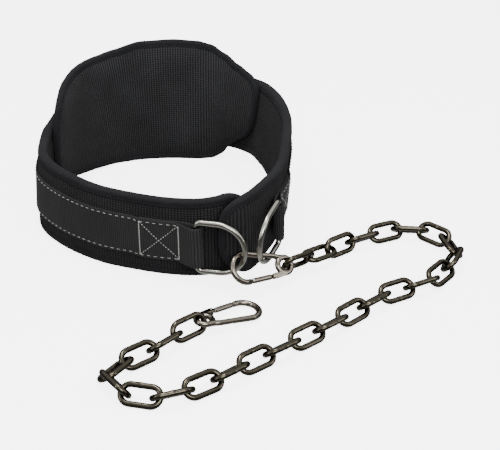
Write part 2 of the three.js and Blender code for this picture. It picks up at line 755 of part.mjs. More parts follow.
// Draws each link along the route until it hangs on the one before with the chain's gap, and gives
// the middle of the wire at the last link's far end
function makeChain(eyeLine, eye) {
  const points = CHAIN_ROUTE.map(({ x, y, h }) => new THREE.Vector3(x, y, h));
  const route = new THREE.CatmullRomCurve3(points, false, "centripetal");
  route.arcLengthDivisions = 1000;
  const dense = route.getSpacedPoints(1200);
  const geometry = skin(wireRings(linkLine(LINK_STEPS / 2 - 1), LINK_WIRE / 2, WIRE_SIDES, true), true);
  const line = linkLine(6);
  let before = eyeLine;
  let needed = (HOOK_WIRE + LINK_WIRE) / 2 + CHAIN_GAP;
  let start = eye.clone().addScaledVector(points[0].clone().sub(eye).normalize(), LINK_WIRE / 2);
  let passed = 0;
  let farEnd;
  LINK_LEANS.forEach((degrees, i) => {
    while (passed < dense.length - 1 && dense[passed].distanceTo(start) < LINK_INSIDE) {
      passed++;
    }
    const way = new THREE.Vector3().subVectors(dense[passed], start).normalize();
    const matrix = settle(start, way, degrees, before, line, needed);
    add(`link_${String(i + 1).padStart(2, "0")}`, geometry, GUNMETAL).applyMatrix4(matrix);
    before = placed(line, matrix);
    needed = LINK_WIRE + CHAIN_GAP;
    start = new THREE.Vector3((LINK_INSIDE - CHAIN_GAP) / 2, 0, 0).applyMatrix4(matrix);
    start.z = dense[passed].z;
    farEnd = new THREE.Vector3((LINK_INSIDE + LINK_WIRE) / 2, 0, 0).applyMatrix4(matrix);
  });
  return farEnd;
}

// A link's place with the least slack, turn and swing that clears the wire before it
function settle(start, way, degrees, before, line, needed) {
  let best = { cost: Infinity };
  for (const swing of [0, 7, -7, 14, -14, 21, -21, 28, -28, 35, -35]) {
    const swung = way.clone().applyAxisAngle(UP, radians(swing));
    for (const turn of [0, 8, -8, 16, -16, 24, -24]) {
      const lean = radians(degrees + turn);
      const lowest = lieHeight(lean) + (Math.abs(swung.z) * LINK_INSIDE) / 2;
      const at = (pull) => {
        const middle = start.clone().addScaledVector(swung, LINK_INSIDE / 2 + pull);
        return linkMatrix(middle.setZ(Math.max(middle.z, lowest)), swung, lean);
      };
      const pull = drawTight((distance) => nearest(placed(line, at(distance)), before), needed);
      const cost = Math.abs(pull) + Math.abs(turn) / 10 + Math.abs(swing) / 7;
      if (cost < best.cost) {
        best = { cost, matrix: at(pull) };
      }
    }
  }
  return best.matrix;
}

// The furthest pull at which two wires still keep their distance
function drawTight(distance, needed) {
  let pull = LINK_WIRE / 4;
  while (pull > -LINK_WIRE && distance(pull) < needed) {
    pull -= 0.25;
  }
  while (pull < LINK_WIRE && distance(pull + 0.02) >= needed) {
    pull += 0.02;
  }
  return pull > -LINK_WIRE ? pull : -Infinity;
}

// The front hook's place: its eye hangs below the middle between both rings' round ends, but no lower
// than the chain lets it. Where a size brings a ring or the band too near, it gives way by small moves
// and turns, as long as they bring it more room
function hangHook(leftRing, rightRing) {
  const ends = [leftRing, rightRing].map((ring) => new THREE.Vector3(D_LENGTH, 0, 0).applyMatrix4(ring.matrix));
  const eye = ends[0].add(ends[1]).multiplyScalar(0.5).add(FRONT_HOOK_FROM_RINGS);
  eye.z = Math.max(eye.z, FRONT_HOOK_EYE_HEIGHT);
  const wires = [leftRing, rightRing].map((ring) => placed(dRingLine(), ring.matrix));
  const loop = [...hookLine(), HINGE, { x: 0, y: HOOK_EYE }];
  const face = [];
  for (let s = BELT_LENGTH - LOOP_FROM_END; s <= BELT_LENGTH; s += BELT_STEP / 2) {
    for (let v = 0; v <= BAND_WIDTH; v += BELT_STEP / 2) {
      face.push(onBelt(s, v, BAND_THICKNESS / 2 + BINDING_PROUD));
    }
  }
  const room = (matrix) => {
    const line = placed(loop, matrix);
    const rings = Math.min(...wires.map((wire) => nearest(line, wire))) - (HOOK_WIRE + D_WIRE) / 2;
    const band = Math.min(...line.flatMap((p) => face.map((q) => p.distanceTo(q)))) - HOOK_WIRE / 2;
    const floor = Math.min(...line.map((p) => p.z)) - HOOK_WIRE / 2;
    return Math.min(rings, band, floor);
  };
  const along = [new THREE.Vector3(1, 0, 0), new THREE.Vector3(0, 1, 0), new THREE.Vector3(0, 0, 1)];
  const moves = along.flatMap((axis) => [
    new THREE.Matrix4().setPosition(axis.clone().multiplyScalar(HOOK_MOVE)),
    new THREE.Matrix4().makeRotationAxis(axis, radians(HOOK_TWIST)),
  ]);
  const tries = moves.flatMap((move) => [move, move.clone().invert()]);
  const start = turned(FRONT_HOOK_TURN.heading, FRONT_HOOK_TURN.pitch, FRONT_HOOK_TURN.roll, eye);
  let best = { matrix: start, room: room(start) };
  let gain = 1;
  while (best.room < FRONT_HOOK_ROOM && gain > 0) {
    const near = tries.map((move) => best.matrix.clone().multiply(move));
    const next = near.map((matrix) => ({ matrix, room: room(matrix) })).reduce((a, b) => (b.room > a.room ? b : a));
    gain = next.room - best.room;
    best = gain > 0 ? next : best;
  }
  return best.matrix;
}

makeBand();
makePad();
const leftRing = placeDRing("left_d_ring", LOOP_FROM_END, LEFT_D);
const rightRing = placeDRing("right_d_ring", BELT_LENGTH - LOOP_FROM_END, RIGHT_D);
makeWeb(leftRing, rightRing);
const eyeCircle = arc(0, 0, HOOK_EYE, 0, 360, 24).slice(1);
const frontHook = hangHook(leftRing, rightRing);
placeHook("front_hook", frontHook);
const chainEnd = makeChain(placed(eyeCircle, frontHook), new THREE.Vector3().setFromMatrixPosition(frontHook));

// The end hook's bow lies on the floor and its eye on the last link's wire
const seat = LINK_WIRE / 2 + CHAIN_GAP + HOOK_WIRE / 2;
const tilt = Math.asin((chainEnd.z - HOOK_WIRE / 2) / (HOOK_REACH + HOOK_BOW));
const endWay = new THREE.Vector3(1, 0, 0).applyAxisAngle(UP, radians(END_HOOK_HEADING));
const endEye = chainEnd.clone().addScaledVector(endWay, HOOK_EYE - seat - EYE_SLACK);
placeHook("end_hook", turned(END_HOOK_HEADING, THREE.MathUtils.radToDeg(tilt), 0, endEye));

// The origin is under the middle of the whole
const box = new THREE.Box3().setFromObject(belt, true);
belt.position.set(-(box.min.x + box.max.x) / 2, -(box.min.y + box.max.y) / 2, -box.min.z);
belt.updateMatrixWorld(true);

export default belt;
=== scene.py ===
"""A dip belt on a white table: padded knit band with bound edges, ribbed lumbar pad, webbing with white
stitching, two D-rings, two snap hooks and a welded chain, built over the CAD frame."""

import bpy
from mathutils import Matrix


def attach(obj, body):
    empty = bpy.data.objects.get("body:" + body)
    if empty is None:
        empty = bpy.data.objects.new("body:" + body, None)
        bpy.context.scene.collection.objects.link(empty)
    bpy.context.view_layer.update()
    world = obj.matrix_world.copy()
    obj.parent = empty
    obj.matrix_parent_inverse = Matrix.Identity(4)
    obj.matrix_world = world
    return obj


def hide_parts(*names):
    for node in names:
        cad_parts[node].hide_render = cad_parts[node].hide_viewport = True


bl_info = {
    "name": "Dip Belt",
    "version": (1, 0, 0),
    "blender": (4, 5, 0),
    "location": "View3D > Sidebar > Dip Belt",
    "description": "Builds the cloth, metal and stage of a dip belt over its CAD frame",
    "category": "Add Mesh",
}

import math
from functools import lru_cache
from types import SimpleNamespace

import bpy
import numpy as np
from bpy.props import FloatProperty, FloatVectorProperty, PointerProperty
from mathutils import Vector

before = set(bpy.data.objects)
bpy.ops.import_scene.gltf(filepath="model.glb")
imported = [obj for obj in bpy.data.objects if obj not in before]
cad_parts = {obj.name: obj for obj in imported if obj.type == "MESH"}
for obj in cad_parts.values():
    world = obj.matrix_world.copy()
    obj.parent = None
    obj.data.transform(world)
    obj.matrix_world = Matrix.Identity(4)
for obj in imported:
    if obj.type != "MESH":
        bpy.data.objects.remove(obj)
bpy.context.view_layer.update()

MM = 0.001

# Where the drawing's origin, the floor under the picture's middle, lies in the part's frame, in mm
PART_SHIFT = np.array([7.357, 70.326, 0.0])

# The middle of the belt's ring in the drawing, in mm
RING_MIDDLE = np.array([-106.0, 36.0])

# The band's middle line as x, y, rise, lean: shares of the ring's size and of the band's width
BELT_LINE = np.array([
    (0.74, -0.699, 0.0, 0.0),
    (0.671, -0.748, 0.0, 0.0),
    (0.555, -0.81, 0.0, 0.0),
    (0.466, -0.86, 0.0, 0.0),
    (0.342, -0.89, 0.0, 0.0),
    (0.11, -0.876, 0.0, 0.0),
    (-0.123, -0.82, 0.0, -0.01),
    (-0.438, -0.705, 0.0, -0.03),
    (-0.755, -0.48, 0.0, -0.06),
    (-0.938, -0.252, 0.0, -0.07),
    (-0.985, -0.006, 0.0, -0.06),
    (-0.955, 0.265, 0.01, 0.0),
    (-0.86, 0.53, 0.03, 0.08),
    (-0.678, 0.761, 0.06, 0.13),
    (-0.404, 0.927, 0.08, 0.15),
    (-0.062, 0.984, 0.1, 0.15),
    (0.281, 0.976, 0.12, 0.15),
    (0.562, 0.95, 0.15, 0.17),
    (0.791, 0.79, 0.16, 0.19),
    (0.893, 0.604, 0.16, 0.19),
    (0.942, 0.459, 0.155, 0.18),
    (0.986, 0.242, 0.15, 0.15),
    (0.997, 0.034, 0.14, 0.12),
    (0.979, -0.205, 0.13, 0.1),
    (0.95, -0.43, 0.12, 0.08),
    (0.9, -0.6, 0.115, 0.06),
    (0.836, -0.715, 0.11, 0.04),
    (0.74, -0.887, 0.11, 0.0),
    (0.661, -0.962, 0.11, -0.02),
    (0.575, -0.972, 0.11, -0.02),
    (0.493, -0.945, 0.11, -0.02),
])

# The pad's outline as a share along it from its middle, and its top and bottom as shares of its height
PAD_OUTLINE = np.array([
    (-1.0, 0.79, 0.06),
    (-0.85, 0.85, 0.04),
    (-0.62, 0.92, 0.02),
    (-0.42, 0.935, 0.01),
    (-0.28, 0.95, 0.0),
    (-0.14, 0.99, 0.0),
    (0.1, 1.0, 0.0),
    (0.34, 0.99, 0.0),
    (0.46, 0.965, 0.01),
    (0.58, 0.9, 0.05),
    (0.7, 0.835, 0.12),
    (0.82, 0.81, 0.17),
    (1.0, 0.8, 0.2),
])
PAD_END_POWER = 4.5

# The pad's middle as a share of the belt's length, and its gap to the band in mm
PAD_MIDDLE = 0.553
PAD_CLEARANCE = 1.6

# Where the rings and hooks sit in the part's frame: point in mm, then heading, pitch and roll
LEFT_RING = ((-51.805, -57.971, 48.5), (-13, -1, 90))
RIGHT_RING = ((39.771, -21.223, 59.18), (246, 10.3, 87))
FRONT_HOOK = ((45.757, -50.374, 19.6), (208, -12.5, -48))
END_HOOK = ((-40.507, -144.948, 11.67), (32.5, 7.285, 0))

# Links in the chain
LINK_COUNT = 27

# The folded tapes in mm: cloth thickness, depth of the rounded bead at the edge, then the row of black
# stitches, its place and period and how deep it lies, and how far apart an outline's points are
TAPE_THICKNESS = 0.85
TAPE_BEAD = 4.6
SEAM_INSET = 2.1
SEAM_PERIOD = 4.4
SEAM_SINK = 0.3
OUTLINE_STEP = 2.2

# The webbing's room in mm: the tape that it lies over, its gap to tape and wire, and to its own lap
TAPE_OVER_BAND = 0.8
WEB_CLEARANCE = 0.9
LAP_CLEARANCE = 0.35

# Each webbing loop, in mm from the belt's end: the ring's bar, how far it stands off, where the laps run
LOOP_PLACE = 71
LOOP_STANDOFF = 19.5
LAP_START = LOOP_PLACE + 15
INNER_LAP = (LAP_START + 46, LAP_START + 3)
OUTER_LAP = (LAP_START + 6, LAP_START + 47)
SINGLE_START = 141.0
LAP_ROWS = 8
LOOP_ROWS = 13
WEB_STEPS = 6

# The white stitches in mm: where each crossed box lies from the belt's end, and their room to the edge
STITCH_BOX = (88, 131)
STITCH_INSET = 3.6

# The hooks in their own plane, the eye at the middle and the bow towards x: radii of both middle lines,
# half the neck at the eye, the hinge from the eye, the nose from the bow, half the gate's tongue and its
# gap to each ear
HOOK_EYE = 8.8
HOOK_BOW = 16.0
HOOK_NECK = 9.6
HINGE_REACH = 15.0
GATE_OVERLAP = 4.5
TONGUE_HALF = 1.2
EAR_GAP = 0.35

# How square a rounded section is: the power of its sine and cosine, 1 for an ellipse and 0 for a box
CUSHION = 0.45
FLAT_FACE = 0.3
WEB_EDGE = 0.35
TAPE_EDGE = 2 / 2.7

# The photograph's camera: its lens in mm, degrees down, and mm from the drawing's origin
LENS = 84.5
CAMERA_TILT = 30.6
CAMERA_DISTANCE = 1421

# The table reaches past every view's edge, just under the belt
TABLE_REACH = 40000
TABLE_DROP = 0.05

# Soft lights: name, place and size in m, power in W, and the point that each one faces
LIGHTS = (
    ("Front softbox", (0.35, -1.5, 1.1), (1.2, 0.8), 20, (0, 0, 0.05)),
    ("Top softbox", (-0.1, -0.1, 1.5), (0.9, 0.35), 15, (0, 0, 0)),
    ("Left strip", (-1.5, -0.9, 0.7), (0.2, 1.0), 5, (0, 0, 0.05)),
    ("Right strip", (1.5, -0.5, 0.6), (0.3, 1.1), 4, (0, 0, 0.05)),
)

# The room's grey from straight down to straight up, its strength, and what is added where it is seen
ROOM_GREYS = ((0.0, 0.6), (0.25, 0.3), (0.42, 0.1), (0.53, 0.05), (0.62, 0.15), (0.78, 0.8), (1.0, 1.0))
ROOM_STRENGTH = 1.1
ROOM_SEEN = 9


def hex_colour(text):
    """sRGB hex to the linear red, green and blue that the shaders take."""
    srgb = [int(text[i : i + 2], 16) / 255 for i in (1, 3, 5)]
    return [c / 12.92 if c <= 0.04045 else ((c + 0.055) / 1.055) ** 2.4 for c in srgb]


def millimetres(label, size, words):
    """A length of the belt, given here in mm and held in Blender's metres."""
    return FloatProperty(name=label, description=words, default=size * MM, min=0.1 * MM, unit="LENGTH")


def finish_colour(label, text):
    return FloatVectorProperty(
        name=label,
        description="Colour of the " + label.lower(),
        default=hex_colour(text),
        min=0,
        max=1,
        subtype="COLOR",
    )


class DipBeltSizes(bpy.types.PropertyGroup):
    """Sizes of the belt."""

    ring_width: millimetres("Ring width", 292, "Width of the band's middle line")
    ring_depth: millimetres("Ring depth", 326, "Depth of the band's middle line")
    band_width: millimetres("Band width", 97, "Height of the waist band")
    band_thickness: millimetres("Band thickness", 9.5, "Thickness of the waist band at its edge")
    band_end_radius: millimetres("Band end radius", 38, "Corner radius of the band's ends")
    band_crown: millimetres("Band crown", 1.7, "How far the band's padding swells outwards")
    binding_width: millimetres("Binding width", 9, "How far the tape comes over the band's faces")
    pad_height: millimetres("Pad height", 159, "Height of the lumbar pad")
    pad_left: millimetres("Pad left reach", 208, "Length of the pad left of its middle")
    pad_right: millimetres("Pad right reach", 138, "Length of the pad right of its middle")
    pad_edge: millimetres("Pad edge", 8, "Thickness of the pad at its binding")
    pad_thickness: millimetres("Pad thickness", 14, "Thickness of the pad in its middle")
    web_width: millimetres("Webbing width", 50, "Width of the webbing")
    web_thickness: millimetres("Webbing thickness", 2.2, "Thickness of the webbing")
    ring_wire: millimetres("D-ring wire", 6.5, "Wire of the D-rings")
    ring_inside: millimetres("D-ring inside", 55, "Inside width of the D-rings")
    ring_length: millimetres("D-ring length", 55, "Length of the D-rings, bar to round end")
    hook_wire: millimetres("Hook wire", 6.6, "Wire of the snap hooks")
    hook_reach: millimetres("Hook reach", 50, "From a hook's eye to the middle of its bow")
    link_wire: millimetres("Link wire", 6.3, "Wire of the chain's links")
    link_inside: millimetres("Link inside", 33.9, "Inside length of a link")
    link_width: millimetres("Link width", 25.6, "Outside width of a link")


class DipBeltColours(bpy.types.PropertyGroup):
    """Colours of the belt's finishes."""

    knit: finish_colour("Band knit", "#161617")
    rib: finish_colour("Pad knit", "#171718")
    twill: finish_colour("Binding tape", "#161618")
    webbing: finish_colour("Webbing", "#1f1f20")
    thread: finish_colour("White thread", "#e9e7e0")
    black_thread: finish_colour("Black thread", "#17181a")
    nickel: finish_colour("Nickel plate", "#b9b7b0")
    hook: finish_colour("Hook plate", "#918b82")
    gunmetal: finish_colour("Gunmetal plate", "#5a564d")
    # Painted shade: the near black of the latch slot's recess
    slot: finish_colour("Latch slot painted shade", "#0b0b0b")
    table: finish_colour("Table", "#fbfbfb")


def sizes():
    """The belt's sizes in mm, rounded because Blender holds them in single precision."""
    group = bpy.context.scene.dip_belt_sizes
    return SimpleNamespace(**{name: round(getattr(group, name) / MM, 4) for name in group.__annotations__})


def colours():
    return bpy.context.scene.dip_belt_colours


# Curves and the belt's own coordinates
def spline(rows, steps):
    """Centripetal Catmull-Rom through the rows, spaced by their first two columns: between two rows a
    cubic whose slopes come from the neighbours, weighted by the square roots of the distances. Gives the
    points and, for each, its place counted in rows."""
    first = 2 * rows[:1] - rows[1:2]
    last = 2 * rows[-1:] - rows[-2:-1]
    p = np.vstack([first, rows, last])
    gap = np.sqrt(np.linalg.norm(np.diff(p[:, :2], axis=0), axis=1))[:, None]
    gap = np.maximum(gap, 1e-4)
    before, here, after = gap[:-2], gap[1:-1], gap[2:]
    p0, p1, p2, p3 = p[:-3], p[1:-2], p[2:-1], p[3:]
    m1 = ((p1 - p0) / before - (p2 - p0) / (before + here) + (p2 - p1) / here) * here
    m2 = ((p2 - p1) / here - (p3 - p1) / (here + after) + (p3 - p2) / after) * here
    a = np.linspace(0, 1, steps, endpoint=False)[None, :, None]
    cubic = (
        p1[:, None]
        + m1[:, None] * a
        + (3 * (p2 - p1) - 2 * m1 - m2)[:, None] * a**2
        + (2 * (p1 - p2) + m1 + m2)[:, None] * a**3
    )
    points = np.vstack([cubic.reshape(-1, rows.shape[1]), rows[-1:]])
    return points, np.linspace(0, len(rows) - 1, len(points))


def lengths(points):
    """Distance travelled along a line of points, counted from its start."""
    return np.concatenate([[0], np.cumsum(np.linalg.norm(np.diff(points, axis=0), axis=1))])


def smooth(x):
    """Eases a share from 0 to 1: three times its square less twice its cube."""
    return x * x * (3 - 2 * x)


def squared(wave, power):
    """A sine or cosine drawn out towards -1 and 1: its size to that power, with its sign kept."""
    return np.sign(wave) * np.abs(wave) ** power


@lru_cache(maxsize=1)
def belt_line():
    """The band's middle line, finely: distance, x, y, way, and its rise and lean, eased between rows."""
    ring = (sizes().ring_width / 2, sizes().ring_depth / 2)
    points, place = spline(BELT_LINE[:, :2] * ring + RING_MIDDLE + PART_SHIFT[:2], 60)
    way = np.gradient(points, axis=0)
    way /= np.linalg.norm(way, axis=1)[:, None]
    row = np.minimum(place.astype(int), len(BELT_LINE) - 2)
    share = smooth(place - row)[:, None]
    extra = BELT_LINE[row, 2:] * (1 - share) + BELT_LINE[row + 1, 2:] * share
    return lengths(points), np.column_stack([points, way, extra])


def belt_length():
    return belt_line()[0][-1]


def on_belt(s, v, t):
    """A point of the belt: s along its middle line, v up from the band's lower edge, t outwards. It is the
    line's point, plus the outward way times t and the lean's share of v, at a height of rise plus v."""
    distance, table = belt_line()
    s, v, t = np.broadcast_arrays(*(np.asarray(a, float) for a in (s, v, t)))
    held = np.clip(s, 0, distance[-1])
    x, y, wx, wy, rise, lean = (np.interp(held, distance, column) for column in table.T)
    past = s - held
    width = sizes().band_width
    out = t + lean * (v - width / 2)
    return np.stack([x + wx * past - wy * out, y + wy * past + wx * out, rise * width + v], -1)


def rise_at(s):
    """How far the band's lower edge is off the floor there, in mm."""
    distance, table = belt_line()
    return np.interp(s, distance, table[:, 4]) * sizes().band_width


def ripple(a, b, period, seed):
    """A soft unevenness between -1 and 1: three sine waves across a and b, of unrelated lengths."""
    k = 2 * math.pi / period
    return (
        np.sin(k * a + 0.6 * k * b + seed)
        + np.sin(1.7 * k * a - 0.9 * k * b + 2.3 * seed)
        + np.sin(0.43 * k * a + 1.9 * k * b + 4.1 * seed)
    ) / 3


# Meshes
def linked(name, mesh):
    """A mesh's faces shaded smooth and its object put into the scene at the origin."""
    mesh.polygons.foreach_set("use_smooth", np.ones(len(mesh.polygons), bool))
    mesh.update()
    obj = bpy.data.objects.new(name, mesh)
    bpy.context.collection.objects.link(obj)
    return obj


def new_object(name, verts, faces, flat, material):
    """An object from points in mm, faces of any size and, for each corner, its place in mm in the flat
    pattern."""
    mesh = bpy.data.meshes.new(name)
    mesh.from_pydata((np.asarray(verts) * MM).tolist(), [], faces)
    if flat is not None:
        layer = mesh.uv_layers.new(name="flat")
        layer.data.foreach_set("uv", np.asarray(flat, np.float32).ravel())
    mesh.materials.append(material)
    return linked(name, mesh)


def mesh_points(mesh):
    """A mesh's corners as rows of x, y and z."""
    co = np.empty(len(mesh.vertices) * 3)
    mesh.vertices.foreach_get("co", co)
    return co.reshape(-1, 3)


def turn_out(mesh):
    """Turns a closed mesh inside out if the volume its faces hold comes out below zero."""
    mesh.calc_loop_triangles()
    corner = np.empty(len(mesh.loop_triangles) * 3, int)
    mesh.loop_triangles.foreach_get("vertices", corner)
    a, b, c = mesh_points(mesh)[corner.reshape(-1, 3)].transpose(1, 0, 2)
    if np.einsum("ij,ij->i", a, np.cross(b, c)).sum() < 0:
        mesh.flip_normals()


def grid_faces(rows, columns, wrap_rows, wrap_columns):
    """Corner numbers of a grid's four-sided faces, and the same in a pattern that isn't wrapped."""
    i, j = np.meshgrid(
        np.arange(rows if wrap_rows else rows - 1),
        np.arange(columns if wrap_columns else columns - 1),
        indexing="ij",
    )
    corners = [(i, j), (i + 1, j), (i + 1, j + 1), (i, j + 1)]
    index = np.stack([(a % rows) * columns + b % columns for a, b in corners], -1).reshape(-1, 4)
    wide = columns + (1 if wrap_columns else 0)
    pattern = np.stack([a * wide + b for a, b in corners], -1).reshape(-1, 4)
    return index, pattern


def capped(grid, closed):
    """Corners and faces of a tube of rows; one that isn't closed to a ring ends in two flat faces."""
    rows, columns = grid.shape[:2]
    faces = grid_faces(rows, columns, closed, True)[0].tolist()
    if not closed:
        ends = np.arange(columns)
        faces += [ends.tolist(), (ends[::-1] + (rows - 1) * columns).tolist()]
    return grid.reshape(-1, 3), faces


def surface(name, points, slot, closed=False, pattern=None):
    """A tube of rows and columns of points as one closed surface, its faces outwards. pattern is the
    grid's flat u and v in mm, with one more column, and one more row where the tube is a ring."""
    rows, columns = points.shape[:2]
    verts, faces = capped(points, closed)
    flat = None
    if pattern is not None:
        place = pattern.reshape(-1, 2)
        flat = place[grid_faces(rows, columns, closed, True)[1].ravel()]
        if not closed:
            flat = np.vstack([flat, place[:columns], place[:columns]])
    obj = new_object(name, verts, faces, flat, finish_for(slot))
    turn_out(obj.data)
    return obj


def around(steps):
    """Angles of a full turn, as one row."""
    return np.linspace(0, 2 * math.pi, steps, endpoint=False)[None]


def tube(line, radius, sides, closed):
    """Round wire along a line in its own plane: at each point a circle across the line's way, its radius
    given for each point."""
    way = np.roll(line, -1, 0) - np.roll(line, 1, 0) if closed else np.gradient(line, axis=0)
    way /= np.linalg.norm(way, axis=1)[:, None]
    side = np.stack([way[:, 1], -way[:, 0], np.zeros(len(way))], -1)
    a = around(sides)[..., None]
    r = np.broadcast_to(radius, len(line))[:, None, None]
    return line[:, None] + r * (np.cos(a) * side[:, None] + np.sin(a) * np.array([0, 0, 1.0]))


def arc(cx, cy, radius, start, end, steps):
    """Points of a circle from one angle to another, in degrees."""
    a = np.radians(np.linspace(start, end, steps))
    return np.column_stack([cx + radius * np.cos(a), cy + radius * np.sin(a), np.zeros(steps)])


def turned(heading, pitch, roll):
    """Turns about Z by the heading, then about the turned Y and X by the pitch and the roll."""
    h, p, r = np.radians([heading, pitch, roll])
    rz = np.array([[np.cos(h), -np.sin(h), 0], [np.sin(h), np.cos(h), 0], [0, 0, 1]])
    ry = np.array([[np.cos(p), 0, np.sin(p)], [0, 1, 0], [-np.sin(p), 0, np.cos(p)]])
    rx = np.array([[1, 0, 0], [0, np.cos(r), -np.sin(r)], [0, np.sin(r), np.cos(r)]])
    return rz @ ry @ rx


def placed(points, place):
    """Points in mm turned by a place's three angles and moved to its point."""
    point, angles = place
    return points @ turned(*angles).T + np.array(point)


def resampled(points, step):
    """A closed line's points at even steps, how far along each lies, and the whole length."""
    ring = np.vstack([points, points[:1]])
    distance = lengths(ring)
    at = np.linspace(0, distance[-1], int(distance[-1] / step), endpoint=False)
    return np.column_stack([np.interp(at, distance, column) for column in ring.T]), at, distance[-1]


def inward(outline):
    """Unit normals into a closed outline that runs clockwise, from the points three before and after."""
    way = np.roll(outline, -3, 0) - np.roll(outline, 3, 0)
    way /= np.linalg.norm(way, axis=1)[:, None]
    return np.column_stack([way[:, 1], -way[:, 0]])


# Finishes
def add_node(tree, kind, inputs, **settings):
    """Adds a shader node with its settings. Each input, in order or by its name, is linked where it is a
    socket and set where it is a number or a colour. Gives the node's outputs."""
    added = tree.nodes.new("ShaderNode" + kind)
    for setting, choice in settings.items():
        setattr(added, setting, choice)
    for place, given in inputs.items() if isinstance(inputs, dict) else enumerate(inputs):
        if isinstance(given, bpy.types.NodeSocket):
            tree.links.new(given, added.inputs[place])
        else:
            added.inputs[place].default_value = given
    return added.outputs


def start_material(name, **settings):
    """A material with its shader's own sockets set, by their names with _ for a space."""
    material = bpy.data.materials.new(name)
    material.use_nodes = True
    tree = material.node_tree
    shader = tree.nodes["Principled BSDF"]
    for setting, given in settings.items():
        shader.inputs[setting.replace("_", " ")].default_value = given
    coordinates = add_node(tree, "TexCoord", [])["Object"]
    return material, tree, shader, coordinates


def wave(tree, place, period):
    """A wave from 0 to 1 with that period in mm: half a sine of the place, and a half."""
    turns = add_node(tree, "Math", [place, 2 * math.pi / period], operation="MULTIPLY")[0]
    sine = add_node(tree, "Math", [turns], operation="SINE")[0]
    return add_node(tree, "Math", [sine, 0.5, 0.5], operation="MULTIPLY_ADD")[0]


def cloth(name, colour, pattern, depth, light=7.0, rough=0.9, fuzz=0.03, gloss=0.12):
    """A woven or knitted cloth. Its height is its pattern, in flat u and v in mm, with some lint. That
    height, stronger or weaker in 45 mm patches, paints the colour from a painted shade between the yarns
    to a painted highlight on their tops, and it raises them by the depth in mm."""
    material, tree, shader, coordinates = start_material(
        name,
        Roughness=rough,
        Specular_IOR_Level=gloss,
        Sheen_Weight=fuzz,
        Sheen_Roughness=0.45,
        Sheen_Tint=[0.9, 0.9, 0.92, 1],
    )
    # Yarns stray over some 7 mm, lint is 0.5 mm, and a patch where the painted shade and highlight grow
    # stronger or weaker is 45 mm wide
    stray, lint, patch_strength = (
        add_node(tree, "TexNoise", {"Vector": coordinates, "Scale": 1 / (size * MM), "Detail": detail})[0]
        for size, detail in ((7, 3), (0.5, 2), (45, 4))
    )
    flat = add_node(tree, "UVMap", [], uv_map="flat")[0]
    along, across, _ = add_node(tree, "SeparateXYZ", [flat])
    stray = add_node(tree, "Math", [stray, 0.8, -0.4], operation="MULTIPLY_ADD")[0]
    height = pattern(tree, add_node(tree, "Math", [along, stray], operation="ADD")[0], across)
    height = add_node(tree, "Math", [height, 0.8], operation="MULTIPLY")[0]
    height = add_node(tree, "Math", [lint, 0.3, height], operation="MULTIPLY_ADD")[0]
    patch_strength = add_node(tree, "Math", [patch_strength, 0.5, 0.25], operation="MULTIPLY_ADD")[0]
    share = add_node(tree, "Math", [height, patch_strength], operation="MULTIPLY")[0]
    share = add_node(tree, "Math", [share, 1.5], operation="MULTIPLY")[0]
    # Painted shade between the yarns, the colour at a fifth, and painted highlight on their tops, the colour
    # times light
    dark = [c * 0.2 for c in colour] + [1]
    top = [min(1, c * light) for c in colour] + [1]
    shade = add_node(tree, "Mix", {0: share, 6: dark, 7: top}, data_type="RGBA")[2]
    tree.links.new(shade, shader.inputs["Base Color"])
    relief = add_node(tree, "Bump", {"Distance": depth * MM, "Height": height})[0]
    tree.links.new(relief, shader.inputs["Normal"])
    return material


def knit_columns(tree, u, v):
    """Coarse knit, a column of V-shaped stitches each 3.4 mm: the place across a column, folded to its
    middle, makes a rounded ridge, and shifts the 3.1 mm stitches up along it so that they lean."""
    column = add_node(tree, "Math", [u, 3.4], operation="DIVIDE")[0]
    column = add_node(tree, "Math", [column, 0.5], operation="PINGPONG")[0]
    row = add_node(tree, "Math", [column, 1.6, v], operation="MULTIPLY_ADD")[0]
    stitch = add_node(tree, "Math", [wave(tree, row, 3.1), 0.8, 0.2], operation="MULTIPLY_ADD")[0]
    half_turn = add_node(tree, "Math", [column, math.pi], operation="MULTIPLY")[0]
    ridge = add_node(tree, "Math", [half_turn], operation="SINE")[0]
    ridge = add_node(tree, "Math", [ridge, 1.6], operation="POWER")[0]
    return add_node(tree, "Math", [ridge, stitch], operation="MULTIPLY")[0]


def knit_ribs(tree, u, v):
    """Ribbed knit: rounded upright ribs each 3.3 mm, crossed by 2.9 mm stitches that rise on each rib."""
    rib = add_node(tree, "Math", [wave(tree, u, 3.3), 0.8], operation="POWER")[0]
    lift = add_node(tree, "Math", [rib, 0.6], operation="MULTIPLY")[0]
    row = add_node(tree, "Math", [v, lift], operation="ADD")[0]
    stitch = add_node(tree, "Math", [wave(tree, row, 2.9), 0.5, 0.5], operation="MULTIPLY_ADD")[0]
    return add_node(tree, "Math", [rib, stitch], operation="MULTIPLY")[0]


def twill_lines(tree, u, v):
    """Twill: slanting lines broken by the weft. The real lines are about 1 mm apart, too fine to show,
    so they are drawn 2.1 mm apart."""
    slant = add_node(tree, "Math", [v, 0.8, u], operation="MULTIPLY_ADD")[0]
    weft = add_node(tree, "Math", [wave(tree, v, 0.7), 0.3, 0.7], operation="MULTIPLY_ADD")[0]
    return add_node(tree, "Math", [wave(tree, slant, 2.1), weft], operation="MULTIPLY")[0]


def web_ribs(tree, u, v):
    """Webbing: ribs across its length with a herringbone shift from one warp end to the next. The real
    ribs are about 1.5 mm apart, and are drawn 2.3 mm apart to show."""
    zigzag = add_node(tree, "Math", [v, 2.1], operation="PINGPONG")[0]
    place = add_node(tree, "Math", [zigzag, 0.35, u], operation="MULTIPLY_ADD")[0]
    warp = add_node(tree, "Math", [wave(tree, v, 1.05), 0.4, 0.6], operation="MULTIPLY_ADD")[0]
    return add_node(tree, "Math", [wave(tree, place, 2.3), warp], operation="MULTIPLY")[0]


def thread_twist(tree, u, v):
    """The twist of a thread's plies, 0.9 mm apart."""
    return wave(tree, add_node(tree, "Math", [u, v], operation="ADD")[0], 0.9)


